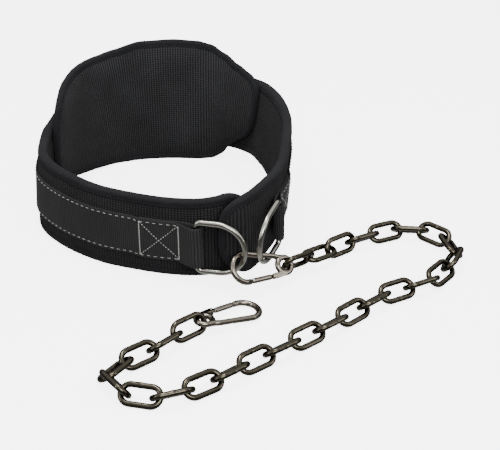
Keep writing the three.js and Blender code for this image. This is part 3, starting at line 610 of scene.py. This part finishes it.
def plated(name, colour, rough, tarnish):
    """Plated steel: the plate's colour goes to its tarnish in 9 mm patches, polishing marks of 1.1 mm
    spread its roughness by 0.12, and the steel under it is uneven by 0.05 mm every 2.4 mm."""
    material, tree, shader, coordinates = start_material(name, Metallic=1)
    patch, marks, dents = (
        add_node(tree, "TexNoise", {"Vector": coordinates, "Scale": 1 / (size * MM), "Detail": detail})[0]
        for size, detail in ((9, 5), (1.1, 6), (2.4, 3))
    )
    dull = [c * k for c, k in zip(colour, tarnish)]
    shade = add_node(tree, "Mix", {0: patch, 6: [*colour, 1], 7: [*dull, 1]}, data_type="RGBA")[2]
    tree.links.new(shade, shader.inputs["Base Color"])
    spread = add_node(tree, "Math", [marks, 0.12, rough - 0.06], operation="MULTIPLY_ADD")[0]
    tree.links.new(spread, shader.inputs["Roughness"])
    relief = add_node(tree, "Bump", {"Distance": 0.05 * MM, "Height": dents})[0]
    tree.links.new(relief, shader.inputs["Normal"])
    return material


@lru_cache(maxsize=None)
def finish_for(slot):
    """The material of a record's slot, of a thread or of the painted shade of the latch slots."""
    c = colours()
    makers = {
        # Polyester knitted coarse over foam: matt black, with painted highlights on the tops of its stitches
        # and painted shade between them
        "knit": lambda: cloth("Coarse knitted polyester", c.knit, knit_columns, 1.2),
        # Polyester knitted in ribs: matt black with fine upright lines
        "pad_knit": lambda: cloth("Rib knitted polyester", c.rib, knit_ribs, 0.9),
        # Polyester tape woven in twill: as black as the knits but flatter and more even
        "binding": lambda: cloth("Woven polyester twill tape", c.twill, twill_lines, 0.4, light=4.5),
        # Webbing woven tight from filament yarn: charcoal beside the knits, smoother, with a faint sheen
        "webbing": lambda: cloth(
            "Woven polyester webbing", c.webbing, web_ribs, 0.45, light=4.0, rough=0.6, gloss=0.25
        ),
        # Bonded polyester thread: off-white, its bonding coat a little shiny
        "thread": lambda: cloth(
            "Bonded white polyester thread", c.thread, thread_twist, 0.1, light=1.0, gloss=0.4
        ),
        # Spun polyester thread: matt black, seen only as dents and small shadows
        "black_thread": lambda: cloth(
            "Spun black polyester thread", c.black_thread, thread_twist, 0.1, rough=0.7
        ),
        # Painted shade for the latch slot: a nearly black sheet where the slot's recess lies in shade
        "slot_shade": lambda: cloth("Painted slot shade", c.slot, thread_twist, 0.01),
        # Wire steel plated with nickel and polished: bright, slightly warm, with sharp streaks
        "ring_nickel": lambda: plated("Polished nickel-plated steel", c.nickel, 0.2, (0.8, 0.78, 0.74)),
        # Forged steel plated with nickel and tumbled: the same but duller and browner
        "hook_nickel": lambda: plated("Tumbled nickel-plated steel", c.hook, 0.2, (0.62, 0.58, 0.52)),
        # Welded steel with a dark antique plate: bronze-grey, with bright lines along the wire
        "chain_steel": lambda: plated("Gunmetal-plated steel", c.gunmetal, 0.19, (0.5, 0.47, 0.38)),
    }
    return makers[slot]()


def settle(obj, body="root", nodes=()):
    """Hands a finished piece to the frame."""
    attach(obj, body)
    if nodes:
        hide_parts(*nodes)


# Outlines of the band and the pad, clockwise in (s, v)
def strip_outline():
    """The band's outline: a rectangle with rounded corners."""
    width, r = sizes().band_width, sizes().band_end_radius
    length = belt_length()
    corners = [(r, width - r, 180), (length - r, width - r, 90), (length - r, r, 0), (r, r, -90)]
    parts = [arc(x, y, r, start, start - 90, 24)[:, :2] for x, y, start in corners]
    return resampled(np.vstack(parts), OUTLINE_STEP)


def pad_edge_heights(share):
    """Top and bottom of the pad at a share along it: the table's heights, half eased, drawn in to their
    middle at both ends by a power curve."""
    i = np.clip(np.searchsorted(PAD_OUTLINE[:, 0], share, "right") - 1, 0, len(PAD_OUTLINE) - 2)
    at = (share - PAD_OUTLINE[i, 0]) / (PAD_OUTLINE[i + 1, 0] - PAD_OUTLINE[i, 0])
    blend = (at + smooth(at)) / 2
    top, bottom = (
        (PAD_OUTLINE[i, k] * (1 - blend) + PAD_OUTLINE[i + 1, k] * blend) * sizes().pad_height for k in (1, 2)
    )
    middle = (top + bottom) / 2
    full = np.maximum(1 - np.abs(share) ** PAD_END_POWER, 0) ** (1 / PAD_END_POWER)
    return middle + (top - middle) * full, middle + (bottom - middle) * full


def pad_place(share):
    """Where a share of the pad lies along the belt: its middle, and that share of its left or right reach."""
    reach = np.where(share < 0, sizes().pad_left, sizes().pad_right)
    return belt_length() * PAD_MIDDLE + share * reach


def pad_outline():
    """The pad's outline, along its top and back along its bottom, closer together towards its ends."""
    share = -np.cos(np.linspace(0, math.pi, 160, endpoint=False))
    top = np.column_stack([pad_place(share), pad_edge_heights(share)[0]])
    bottom = np.column_stack([pad_place(-share), pad_edge_heights(-share)[1]])
    return resampled(np.vstack([top, bottom]), OUTLINE_STEP)


def on_pad(s, height, t):
    """A point of the pad: height counts from the floor, while the band under it rises."""
    return on_belt(s, height - rise_at(s), t)


# Padding, tape and threads
def cushion_angles(steps):
    """Round a padded section: the sine, the cosine drawn square, and that cosine closed for a pattern."""
    a = around(steps)
    x = squared(np.cos(a), CUSHION)
    return np.sin(a), x, squared(np.cos(np.append(a, 2 * math.pi)), CUSHION)


def bound_edge(name, outline, width, middle, half, place, pucker):
    """A tape folded over an edge, as a U of cloth carried round the outline. Its section runs in depth d
    from the edge: a superellipse round the edge, then straight in to the tape's own edge, and back a
    tape's thickness inside. Stitches pull it down in a row near its edge."""
    points, at, total = outline
    a = np.linspace(-math.pi / 2, math.pi / 2, 19)
    inside = TAPE_BEAD + (width - TAPE_BEAD) * np.array([1.0, 0.82, 0.64, 0.46, 0.28, 0.12])
    pressed = np.array([0.22, 0.05, 0, 0, 0, 0])

    def side(shrink):
        d = (TAPE_BEAD - shrink) * (1 - np.cos(a) ** TAPE_EDGE) + shrink
        t = (half - shrink) * squared(np.sin(a), TAPE_EDGE)
        flank = half - shrink - pressed
        return np.concatenate([inside, d, inside[::-1]]), np.concatenate([-flank, t, flank[::-1]])

    (d0, t0), (d1, t1) = side(0), side(TAPE_THICKNESS)
    d = np.concatenate([d0, d1[::-1]])[None]
    t = np.concatenate([t0, t1[::-1]])[None]
    run = at[:, None]

    # The tape's own edge wanders by half a millimetre, and swells a little between the stitches
    wander = 0.3 * np.sin(run / 17) + 0.2 * np.sin(run / 5.3 + 1)
    d = d + wander * np.clip((d - TAPE_BEAD) / (width - TAPE_BEAD), 0, 1)
    seam = np.exp(-(((d - width + SEAM_INSET) / 0.9) ** 2))
    dip = pucker * (0.55 + 0.45 * np.cos(2 * math.pi * run / SEAM_PERIOD)) * seam
    swell = 0.22 * ripple(run, 3 * t, 23, 1.3)
    t = t * (1 - dip / half) + np.sign(t) * swell * (1 - seam)
    normal = inward(points)
    grid = place(points[:, :1] + normal[:, :1] * d, points[:, 1:] + normal[:, 1:] * d, middle + t)
    across = lengths(np.column_stack([np.append(d[0], d[0, 0]), np.append(t[0], t[0, 0])]))
    pattern = np.stack(np.meshgrid(np.append(at, total), across, indexing="ij"), -1)
    obj = surface(name, grid, "binding", True, pattern)
    return obj, (lengths(np.column_stack([d0, t0]))[-1] * MM, total * MM)


def threads(name, centre, way, length, radius, lift, place, slot):
    """Stitches as short round threads: each runs along its way in the flat pattern, arched so that both
    ends dive into the cloth, its radius drawn in at the ends. centre is (n, 4): s, v, t and the side of
    the cloth that it lies on; way is (n, 2)."""
    w = np.linspace(-1, 1, 9)[None, :, None]
    a = around(8)[None]
    r = radius * np.sqrt(1 - 0.75 * w**4)
    along = length / 2 * w
    side = r * np.cos(a)
    up = r * np.sin(a) + lift * (1 - w**4) - radius * w**8
    s = centre[:, 0, None, None] + along * way[:, 0, None, None] - side * way[:, 1, None, None]
    v = centre[:, 1, None, None] + along * way[:, 1, None, None] + side * way[:, 0, None, None]
    t = centre[:, 2, None, None] + up * centre[:, 3, None, None]
    grid = place(s, v, t)
    count, rows, columns = grid.shape[:3]
    one = grid_faces(rows, columns, False, True)[0]
    index = (one[None] + np.arange(count)[:, None, None] * rows * columns).reshape(-1, 4)
    flat = np.stack(np.broadcast_arrays(s, v), -1).reshape(-1, 2)[index.ravel()]
    obj = new_object(name, grid.reshape(-1, 3), index.tolist(), flat, finish_for(slot))
    settle(obj)


def seam_of(outline, depth, t, side):
    """Places of a row of stitches at a depth inside an outline, on one side of the cloth."""
    points, at, total = outline
    count = int(total / SEAM_PERIOD)
    table = np.hstack([points, inward(points)])
    where = (np.arange(count) + 0.5) * total / count
    s, v, ns, nv = (np.interp(where, np.append(at, total), [*column, column[0]]) for column in table.T)
    centre = np.column_stack([s + ns * depth, v + nv * depth, np.full(count, t), np.full(count, side)])
    return centre, np.column_stack([-nv, ns])


def bind(piece, node, outline, width, middle, half, place, pucker, sides):
    """Folds a tape over a piece's edge and sews it through, with the stitches seen on the given sides."""
    tape, flat_size = bound_edge(f"{piece}_binding_tape", outline, width, middle, half, place, pucker)
    settle(tape, nodes=[node])
    rows = [seam_of(outline, width - SEAM_INSET, middle + k * (half - SEAM_SINK), k) for k in sides]
    centre, way = (np.vstack(part) for part in zip(*rows))
    threads(f"{piece}_seam", centre, way, 3.2, 0.28, 0.12, place, "black_thread")


def build_band():
    """The band in rows along its middle line: each is a squared oval, as tall as the rounded end lets it
    be there and swollen by its padding, under the tape by the tuck."""
    s = sizes()
    length, half, width = belt_length(), s.band_thickness / 2, s.band_width
    tuck = 4.0
    radius = s.band_end_radius - tuck
    run = length - 2 * tuck
    end = radius * (1 - np.cos(np.linspace(0.02, math.pi / 2, 26)))
    straight = np.arange(radius + 2, run - radius - 1, 2.0)
    at = np.concatenate([end, straight, (run - end)[::-1]])[:, None]
    near = np.minimum(np.minimum(at, run - at), radius)
    tall = width / 2 - tuck - radius + np.sqrt(radius**2 - (radius - near) ** 2)
    sine, x, pattern_x = cushion_angles(128)
    v = width / 2 + tall * x
    plump = (1 - np.abs(x) ** 5) * np.clip(near / 14, 0, 1)
    swell = np.where(sine > 0, s.band_crown, 0.5) * plump
    t = squared(sine, FLAT_FACE) * (half - 0.15 + swell) + 0.25 * ripple(at, v, 46, 0.7) * plump
    pattern = np.stack(np.meshgrid(at[:, 0], width / 2 * pattern_x, indexing="ij"), -1)
    obj = surface("band", on_belt(at + tuck, v, t), "knit", pattern=pattern)
    settle(obj, nodes=["belt_band"])
    bind("band", "band_binding", strip_outline(), s.binding_width, 0.0, half + 0.75, on_belt, 0.5, (1, -1))


def build_pad():
    """The pad in rows along its length, between the heights of its outline: flat against the band and
    crowned on the wearer's side."""
    s = sizes()
    half = s.pad_edge / 2
    middle_t = -(s.band_thickness / 2 + PAD_CLEARANCE) - half
    tuck = 3.6

    # The rows stop just short of the pad's two ends, which the tape covers
    share = -np.cos(np.linspace(0.07, math.pi - 0.07, 190))[:, None]
    top, bottom = pad_edge_heights(share)
    tall = np.maximum((top - bottom) / 2 - tuck, 1)
    at = pad_place(share * 0.98)
    sine, x, pattern_x = cushion_angles(144)
    height = (top + bottom) / 2 + tall * x
    plump = (1 - np.abs(x) ** 4.5) * (1 - np.abs(share) ** 7)
    crown = (s.pad_thickness - s.pad_edge) * plump + 0.45 * ripple(at, height, 58, 2.1) * plump
    flatness = np.abs(sine) ** FLAT_FACE
    t = middle_t + np.where(sine < 0, -(half + crown - 0.2), half - 0.3) * flatness
    pattern = np.stack(np.meshgrid(at[:, 0], s.pad_height / 2 * pattern_x, indexing="ij"), -1)
    obj = surface("pad", on_pad(at, height, t), "pad_knit", pattern=pattern)
    settle(obj, nodes=["lumbar_pad"])
    bind("pad", "pad_binding", pad_outline(), 8.0, middle_t, half + 0.3, on_pad, 0.4, (-1,))


# Webbing
def web_levels():
    """Heights of the webbing's middle: on the band, and on its own lap."""
    s = sizes()
    seat = s.band_thickness / 2 + TAPE_OVER_BAND + WEB_CLEARANCE + s.web_thickness / 2
    return seat, seat + s.web_thickness + LAP_CLEARANCE


def bar_lean(place, ring):
    """How far a ring's bar leans along and away from the belt for each mm of height."""
    bar = turned(*ring[1])[:, 1]
    bar = bar / bar[2]
    here = on_belt(place, 0, 0)
    bar = bar - (on_belt(place, 1, 0) - here)
    out = on_belt(place, 0, 1) - here
    return bar @ np.array([out[1], -out[0], 0]), bar @ out


def web_half(lean):
    """From the inner lap's end round the bar to the outer lap's end: rows of s, t and the bar's lean."""
    radius = sizes().ring_wire / 2 + WEB_CLEARANCE + sizes().web_thickness / 2
    laps = [
        np.column_stack([np.linspace(*ends, LAP_ROWS), np.full(LAP_ROWS, level), np.zeros((LAP_ROWS, 2))])
        for ends, level in zip((INNER_LAP, OUTER_LAP), web_levels())
    ]
    loop = arc(LOOP_PLACE, LOOP_STANDOFF, radius, 255, 65, LOOP_ROWS)[:, :2]
    return np.vstack([laps[0], np.hstack([loop, np.tile(lean, (LOOP_ROWS, 1))]), laps[1]])


def dashes(start, end, period):
    """Places on the outer face and ways of even dashes from one point to another."""
    start, end = np.array(start, float), np.array(end, float)
    reach = np.linalg.norm(end - start)
    count = max(int(round(reach / period)), 1)
    share = ((np.arange(count) + 0.5) / count)[:, None]
    place = np.column_stack([start + (end - start) * share, np.zeros(count), np.ones(count)])
    return place, np.tile((end - start) / reach, (count, 1))


def build_webbing():
    """One band of webbing along its path round both ring bars: a squared oval in each row, whose selvedges
    scallop a little. It leans with the bar in a loop, by its height over the webbing's middle."""
    s = sizes()
    length = belt_length()
    left = web_half(bar_lean(LOOP_PLACE, LEFT_RING))
    along_lean, out_lean = bar_lean(length - LOOP_PLACE, RIGHT_RING)
    right = web_half((-along_lean, out_lean))[::-1] * [1, 1, -1, 1]
    right[:, 0] = length - right[:, 0]
    run = np.arange(SINGLE_START, length - SINGLE_START + 1, 12)
    single = np.column_stack([run, np.full(len(run), web_levels()[0]), np.zeros((len(run), 2))])
    path, _ = spline(np.vstack([left, single, right]), WEB_STEPS)
    way = np.gradient(path[:, :2], axis=0)
    way /= np.linalg.norm(way, axis=1)[:, None]
    distance = lengths(path[:, :2])
    x, y = squared(np.cos(around(72)), WEB_EDGE), squared(np.sin(around(72)), WEB_EDGE)
    middle = s.band_width / 2
    v = middle + (s.web_width / 2 + 0.12 * np.sin(distance / 0.75)[:, None]) * x
    off = s.web_thickness / 2 * y * (1 - 0.12 * np.abs(x) ** 8)
    grid = on_belt(
        path[:, :1] - way[:, 1:] * off + path[:, 2:3] * (v - middle),
        v,
        path[:, 1:2] + way[:, :1] * off + path[:, 3:4] * (v - middle),
    )
    cross = np.append(x[0], x[0, 0]) * s.web_width / 2
    pattern = np.stack(np.meshgrid(distance, cross, indexing="ij"), -1)
    obj = surface("webbing", grid, "webbing", pattern=pattern)
    settle(obj, nodes=["web_strap"])

    # The stitches lie on the outer face from one loop to the other, by its place along the belt
    loop_end = (LAP_ROWS + LOOP_ROWS - 1) * WEB_STEPS
    face, face_way = path[loop_end:-loop_end], way[loop_end:-loop_end]
    face_s = face[:, 0] - face_way[:, 1] * s.web_thickness / 2
    face_rows = (face[:, 1] + face_way[:, 0] * s.web_thickness / 2, face[:, 2], face[:, 3])

    def on_web(at, v, t):
        level, lean_s, lean_t = (np.interp(at, face_s, column) for column in face_rows)
        return on_belt(at + lean_s * (v - middle), v, level + t + lean_t * (v - middle))

    low = (s.band_width - s.web_width) / 2 + STITCH_INSET
    high = s.band_width - low
    near, far = STITCH_BOX
    long_rows = [dashes((near, v), (length - near, v), 7.4) for v in (low, high)]
    side_rows, cross_rows = [], []
    for start, end in [(near, far), (length - far, length - near)]:
        side_rows += [dashes((place, low), (place, high), 3.4) for place in (start, end)]
        cross_rows += [dashes((start, low), (end, high), 3.6), dashes((end, low), (start, high), 3.6)]
    for name, rows, stitch, thick in [
        ("long_stitches", long_rows, 3.9, 0.31),
        ("box_side_stitches", side_rows, 3.5, 0.62),
        ("cross_stitches", cross_rows, 2.3, 0.42),
    ]:
        centre, unit = (np.vstack(part) for part in zip(*rows))
        threads(name, centre, unit, stitch, thick, 0.25, on_web, "thread")


# Metal
def build_ring(name, node, place):
    """A D-ring: straight bar, tight corners and a half circle, as one round wire with a weld in its bar."""
    s = sizes()
    half = (s.ring_inside + s.ring_wire) / 2
    bend = s.ring_wire
    middle = (s.ring_length - half + bend) / 2
    line, at, total = resampled(np.vstack([
        arc(bend, -half + bend, bend, 180, 270, 14),
        [(middle, -half, 0)],
        arc(s.ring_length - half, 0, half, -90, 90, 64),
        [(middle, half, 0)],
        arc(bend, half - bend, bend, 90, 180, 14),
        [(0, y, 0) for y in np.linspace(half - bend - 3, -half + bend + 3, 12)],
    ]), 1.4)
    weld = np.exp(-(((at - total + half - bend) / 1.3) ** 2))
    wire = tube(line, s.ring_wire / 2 * (1 + 0.035 * weld), 28, True)
    ring = surface(name, placed(wire, place), "ring_nickel", True)
    settle(ring, nodes=[node])


def build_links():
    """Each link is a stadium of round wire with a weld bead, put where its CAD link lies: at the mean of
    its corners, turned along their long, middle and short spread."""
    s = sizes()
    bend = (s.link_width - s.link_wire) / 2
    straight = (s.link_inside + s.link_wire) / 2 - bend
    line = np.vstack([arc(straight, 0, bend, -90, 90, 20), arc(-straight, 0, bend, 90, 270, 20)])
    line, at, _ = resampled(line, 1.1)
    for number in range(1, LINK_COUNT + 1):
        node = f"link_{number:02d}"
        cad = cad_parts[node]
        world = np.array(cad.matrix_world)
        corners = mesh_points(cad.data) @ world[:3, :3].T + world[:3, 3]
        corners = np.unique(np.round(corners, 7), axis=0) / MM
        middle = corners.mean(0)
        spread = np.linalg.svd(corners - middle, full_matrices=False)[2]
        spread[2] = np.cross(spread[0], spread[1])
        weld_side = 1 if number % 2 else -1
        weld = np.exp(-(((line[:, 0] + 1.5) / 1.5) ** 2)) * (line[:, 1] * weld_side < 0)
        radius = s.link_wire / 2 * (1 + 0.06 * weld - 0.01 * np.abs(np.sin(at / 7 + number)))
        grid = tube(line, radius, 22, True) @ spread + middle
        settle(surface(f"chain_{node}", grid, "chain_steel", True), nodes=[node])


def prism(outline, low, high):
    """Corners and faces of a flat plate with that outline between two heights."""
    count = len(outline)
    verts = np.vstack([outline + [0, 0, low], outline + [0, 0, high]])
    k = np.arange(count)
    sides = np.column_stack([k, (k + 1) % count, (k + 1) % count + count, k + count])
    return verts, sides.tolist() + [k[::-1].tolist(), (k + count).tolist()]


def fused(name, parts, voxel, place):
    """Overlapping closed parts fused into one skin by a voxel remesh and softened, like a forging."""
    verts, faces, base = [], [], 0
    for part_verts, part_faces in parts:
        verts.append(part_verts)
        faces += [[k + base for k in face] for face in part_faces]
        base += len(part_verts)
    rough = new_object(name + "_rough", np.vstack(verts), faces, None, finish_for("hook_nickel"))
    remesh = rough.modifiers.new("Fuse", "REMESH")
    remesh.mode = "VOXEL"
    remesh.voxel_size = voxel * MM
    soften = rough.modifiers.new("Soften", "SMOOTH")
    soften.factor = 0.5
    soften.iterations = 5
    mesh = bpy.data.meshes.new_from_object(rough.evaluated_get(bpy.context.evaluated_depsgraph_get()))
    old = rough.data
    bpy.data.objects.remove(rough)
    bpy.data.meshes.remove(old)
    mesh.vertices.foreach_set("co", (placed(mesh_points(mesh) / MM, place) * MM).ravel())
    mesh.name = name
    return linked(name, mesh)


def build_hook(name, node, place, gate_body):
    """A snap hook in its own plane: a ring for the eye, a wire that thins at the neck and swells at the
    bow, and two ears over the gate's tongue. The bow's sides spread by the slope from neck to bow."""
    s = sizes()
    radius = s.hook_wire / 2
    slope = (HOOK_BOW - HOOK_NECK) / s.hook_reach
    angle = math.atan(slope)
    turn = math.degrees(angle)
    hinge_x, hinge_y = HINGE_REACH, HOOK_NECK + slope * HINGE_REACH
    nose_x = s.hook_reach - GATE_OVERLAP
    bow_line, _ = spline(np.vstack([
        [(0, -HOOK_EYE, 0), (6, -HOOK_EYE - 0.35, 0)],
        [(x, -HOOK_NECK - slope * x, 0) for x in np.linspace(s.hook_reach / 4, s.hook_reach - 8, 7)],
        arc(s.hook_reach, 0, HOOK_BOW, -94 + turn, 90, 40),
        [(nose_x + 0.4, HOOK_BOW - 4.1 * slope, 0)],
    ]), 4)
    along = lengths(bow_line) / lengths(bow_line)[-1]
    neck = 0.06 * np.exp(-(((along - 0.2) / 0.12) ** 2))
    heel = 0.05 * np.exp(-(((along - 0.7) / 0.15) ** 2))
    ear = np.vstack([
        [(-1, HOOK_EYE - 2.6, 0)],
        arc(hinge_x, hinge_y, radius, -90, 90, 14),
        [(-1, HOOK_EYE + 2.4, 0)],
    ])
    stub_x = hinge_x - radius - 1
    stub = np.array([
        (-2, HOOK_EYE - 2.4, 0),
        (stub_x, hinge_y - 2.9, 0),
        (stub_x, hinge_y + 2.8, 0),
        (-2, HOOK_EYE + 2.2, 0),
    ])
    ear_low, ear_high = TONGUE_HALF + EAR_GAP, radius - 0.1
    body = fused(name, [
        capped(tube(arc(0, 0, HOOK_EYE, 0, 360, 49)[:-1], radius, 20, True), True),
        capped(tube(bow_line, radius * (1 - neck + heel), 20, False), False),
        prism(ear, ear_low, ear_high),
        prism(ear, -ear_high, -ear_low),
        prism(stub, 0.4 - radius, radius - 0.4),
    ], 0.42, place)
    settle(body, nodes=[node])

    # The rivet stands a little proud of both ears
    high = np.linspace(0, math.pi, 12)[:, None]
    out = np.sin(high) * 1.75
    rise = -np.cos(high) * (radius + 0.45)
    rivet = [hinge_x + out * np.cos(around(24)), hinge_y + out * np.sin(around(24)), rise]
    rivet = np.stack(np.broadcast_arrays(*rivet), -1)
    settle(surface(name + "_rivet", placed(rivet, place), "ring_nickel"))

    # The latch slot in the nose, as painted shade: a dark stadium sheet that follows the wire's round face on
    # both sides, where the slot's recess lies in shade
    way = np.array([math.cos(angle), math.sin(angle), 0])
    side = np.array([-way[1], way[0], 0])
    a = around(28)
    shrink = np.array([0.02, 0.5, 0.9, 1.0, 1.0, 0.9, 0.5, 0.02])[:, None]
    along = (1.5 * squared(np.cos(a), 0.4) + 0.9 * np.cos(a)) * shrink
    across = np.sin(a) * shrink
    face = np.sqrt((radius * 1.06) ** 2 - across**2) + 0.05
    slot = np.array([s.hook_reach - 1.6, HOOK_BOW - 1.6 * slope, 0])
    slot = slot + along[..., None] * way + across[..., None] * side
    slot[..., 2] += face * np.repeat([-1, 1], 4)[:, None]
    settle(surface(name + "_painted_slot_shade", placed(slot, place), "slot_shade"))

    # The gate: a thinner wire with a groove behind its tip, and the tongue that turns about the rivet
    hinge = np.array([hinge_x, hinge_y, 0])
    tip = (nose_x - HINGE_REACH) / math.cos(angle)
    at = np.linspace(radius + 1.4, tip, 30)
    groove = np.exp(-(((at - tip + 1.1) / 0.9) ** 2))
    root = np.exp(-(((at - at[0]) / 1.2) ** 2))
    bar = tube(hinge + way * at[:, None], 3.1 * (1 - 0.3 * groove) * (1 - 0.12 * root), 20, False)
    tongue_end = hinge + way * (radius + 3.2)
    tongue = np.vstack([
        arc(hinge_x, hinge_y, 2.5, 90 + turn, 270 + turn, 14),
        [tongue_end - side * 2.4, tongue_end + side * 2.4],
    ])
    gate_parts = [capped(bar, False), prism(tongue, 0.05 - TONGUE_HALF, TONGUE_HALF - 0.05)]
    gate = fused(name + "_gate", gate_parts, 0.36, place)
    settle(gate, gate_body, [node + "_gate"])


# Stage
def build_table():
    """A white sheet, lit from within so that it stays white; it doesn't shine in the belt's metal."""
    table = start_material(
        "Matt white laminate",
        Base_Color=[*colours().table, 1],
        Roughness=0.65,
        Specular_IOR_Level=0.25,
        Emission_Color=(1, 1, 1, 1),
        Emission_Strength=4.5,
    )[0]
    x, y = np.meshgrid(*[np.linspace(-TABLE_REACH, TABLE_REACH, 3)] * 2, indexing="ij")
    points = np.stack([x, y, 0 * x - TABLE_DROP], -1).reshape(-1, 3)
    floor = new_object("table", points, grid_faces(3, 3, False, False)[0].tolist(), None, table)
    floor.visible_glossy = False
    floor.visible_diffuse = False
    return floor


def build_lights():
    """Soft lights as large as the studio's, each turned to the point that it faces."""
    lights = []
    for name, place, size, power, aim in LIGHTS:
        data = bpy.data.lights.new(name, "AREA")
        data.shape = "RECTANGLE"
        data.size, data.size_y = size
        data.energy = power
        light = bpy.data.objects.new(name, data)
        light.location = place
        light.rotation_euler = (Vector(aim) - Vector(place)).to_track_quat("-Z", "Y").to_euler()
        bpy.context.collection.objects.link(light)
        lights.append(light)
    return lights


def build_room():
    """The room is white where it is seen past the table, and grey by height where it shines in metal,
    with a dark band at its horizon."""
    world = bpy.data.worlds.new("White room")
    world.use_nodes = True
    tree = world.node_tree
    up = add_node(tree, "SeparateXYZ", [add_node(tree, "TexCoord", [])["Generated"]])[2]
    height = add_node(tree, "Math", [up, 0.5, 0.5], operation="MULTIPLY_ADD")[0]
    ramp = add_node(tree, "ValToRGB", [height])[0].node
    while len(ramp.color_ramp.elements) < len(ROOM_GREYS):
        ramp.color_ramp.elements.new(0.5)
    for element, (position, grey) in zip(ramp.color_ramp.elements, ROOM_GREYS):
        element.position = position
        element.color = (grey, grey, grey, 1)
    background = tree.nodes["Background"]
    tree.links.new(ramp.outputs[0], background.inputs["Color"])
    seen = add_node(tree, "LightPath", [])["Is Camera Ray"]
    strength = add_node(tree, "Math", [seen, ROOM_SEEN, ROOM_STRENGTH], operation="MULTIPLY_ADD")[0]
    tree.links.new(strength, background.inputs["Strength"])
    bpy.context.scene.world = world


def build_camera():
    """The camera looks down on the drawing's origin from its distance."""
    data = bpy.data.cameras.new("Camera")
    data.lens = LENS
    camera = bpy.data.objects.new("Camera", data)
    tilt = math.radians(CAMERA_TILT)
    back = CAMERA_DISTANCE * np.array([0, -math.cos(tilt), math.sin(tilt)])
    camera.location = (PART_SHIFT + back) * MM
    camera.rotation_euler = (math.pi / 2 - tilt, 0, 0)
    bpy.context.collection.objects.link(camera)
    bpy.context.scene.camera = camera
    return camera


def build_stage():
    build_room()
    build_table()
    build_camera()
    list(build_lights())


class DIPBELT_OT_band(bpy.types.Operator):
    """Build the padded waist band, its binding and the binding's seam."""

    bl_idname = "dip_belt.band"
    bl_label = "Waist Band"

    def execute(self, context):
        build_band()
        return {"FINISHED"}


class DIPBELT_OT_pad(bpy.types.Operator):
    """Build the lumbar pad, its binding and the binding's seam."""

    bl_idname = "dip_belt.pad"
    bl_label = "Lumbar Pad"

    def execute(self, context):
        build_pad()
        return {"FINISHED"}


class DIPBELT_OT_webbing(bpy.types.Operator):
    """Build the webbing with its loops and its white stitching."""

    bl_idname = "dip_belt.webbing"
    bl_label = "Webbing"

    def execute(self, context):
        build_webbing()
        return {"FINISHED"}


class DIPBELT_OT_rings(bpy.types.Operator):
    """Build both D-rings."""

    bl_idname = "dip_belt.rings"
    bl_label = "D-Rings"

    def execute(self, context):
        build_ring("left_ring", "left_d_ring", LEFT_RING)
        build_ring("right_ring", "right_d_ring", RIGHT_RING)
        return {"FINISHED"}


class DIPBELT_OT_hooks(bpy.types.Operator):
    """Build both snap hooks with their gates."""

    bl_idname = "dip_belt.hooks"
    bl_label = "Snap Hooks"

    def execute(self, context):
        build_hook("front_snap_hook", "front_hook", FRONT_HOOK, "front_gate")
        build_hook("end_snap_hook", "end_hook", END_HOOK, "end_gate")
        return {"FINISHED"}


class DIPBELT_OT_chain(bpy.types.Operator):
    """Build the chain, link by link."""

    bl_idname = "dip_belt.chain"
    bl_label = "Chain"

    def execute(self, context):
        build_links()
        return {"FINISHED"}


class DIPBELT_OT_stage(bpy.types.Operator):
    """Build the table, the lights and the camera."""

    bl_idname = "dip_belt.stage"
    bl_label = "Stage"

    def execute(self, context):
        build_stage()
        return {"FINISHED"}


OPERATORS = (
    DIPBELT_OT_band,
    DIPBELT_OT_pad,
    DIPBELT_OT_webbing,
    DIPBELT_OT_rings,
    DIPBELT_OT_hooks,
    DIPBELT_OT_chain,
    DIPBELT_OT_stage,
)


class DIPBELT_PT_panel(bpy.types.Panel):
    """The belt's pieces."""

    bl_idname = "DIPBELT_PT_panel"
    bl_label = "Dip Belt"
    bl_space_type = "VIEW_3D"
    bl_region_type = "UI"
    bl_category = "Dip Belt"

    def draw(self, context):
        for operator in OPERATORS:
            self.layout.operator(operator.bl_idname)
        for group in (context.scene.dip_belt_sizes, context.scene.dip_belt_colours):
            box = self.layout.box()
            for name in group.__annotations__:
                box.prop(group, name)


CLASSES = (DipBeltSizes, DipBeltColours, *OPERATORS, DIPBELT_PT_panel)


def register():
    for item in CLASSES:
        bpy.utils.register_class(item)
    bpy.types.Scene.dip_belt_sizes = PointerProperty(type=DipBeltSizes)
    bpy.types.Scene.dip_belt_colours = PointerProperty(type=DipBeltColours)


def unregister():
    del bpy.types.Scene.dip_belt_colours
    del bpy.types.Scene.dip_belt_sizes
    for item in reversed(CLASSES):
        bpy.utils.unregister_class(item)


def main():
    register()
    bpy.ops.dip_belt.band()
    bpy.ops.dip_belt.pad()
    bpy.ops.dip_belt.webbing()
    bpy.ops.dip_belt.rings()
    bpy.ops.dip_belt.hooks()
    bpy.ops.dip_belt.chain()
    bpy.ops.dip_belt.stage()


if __name__ == "__main__":
    main()
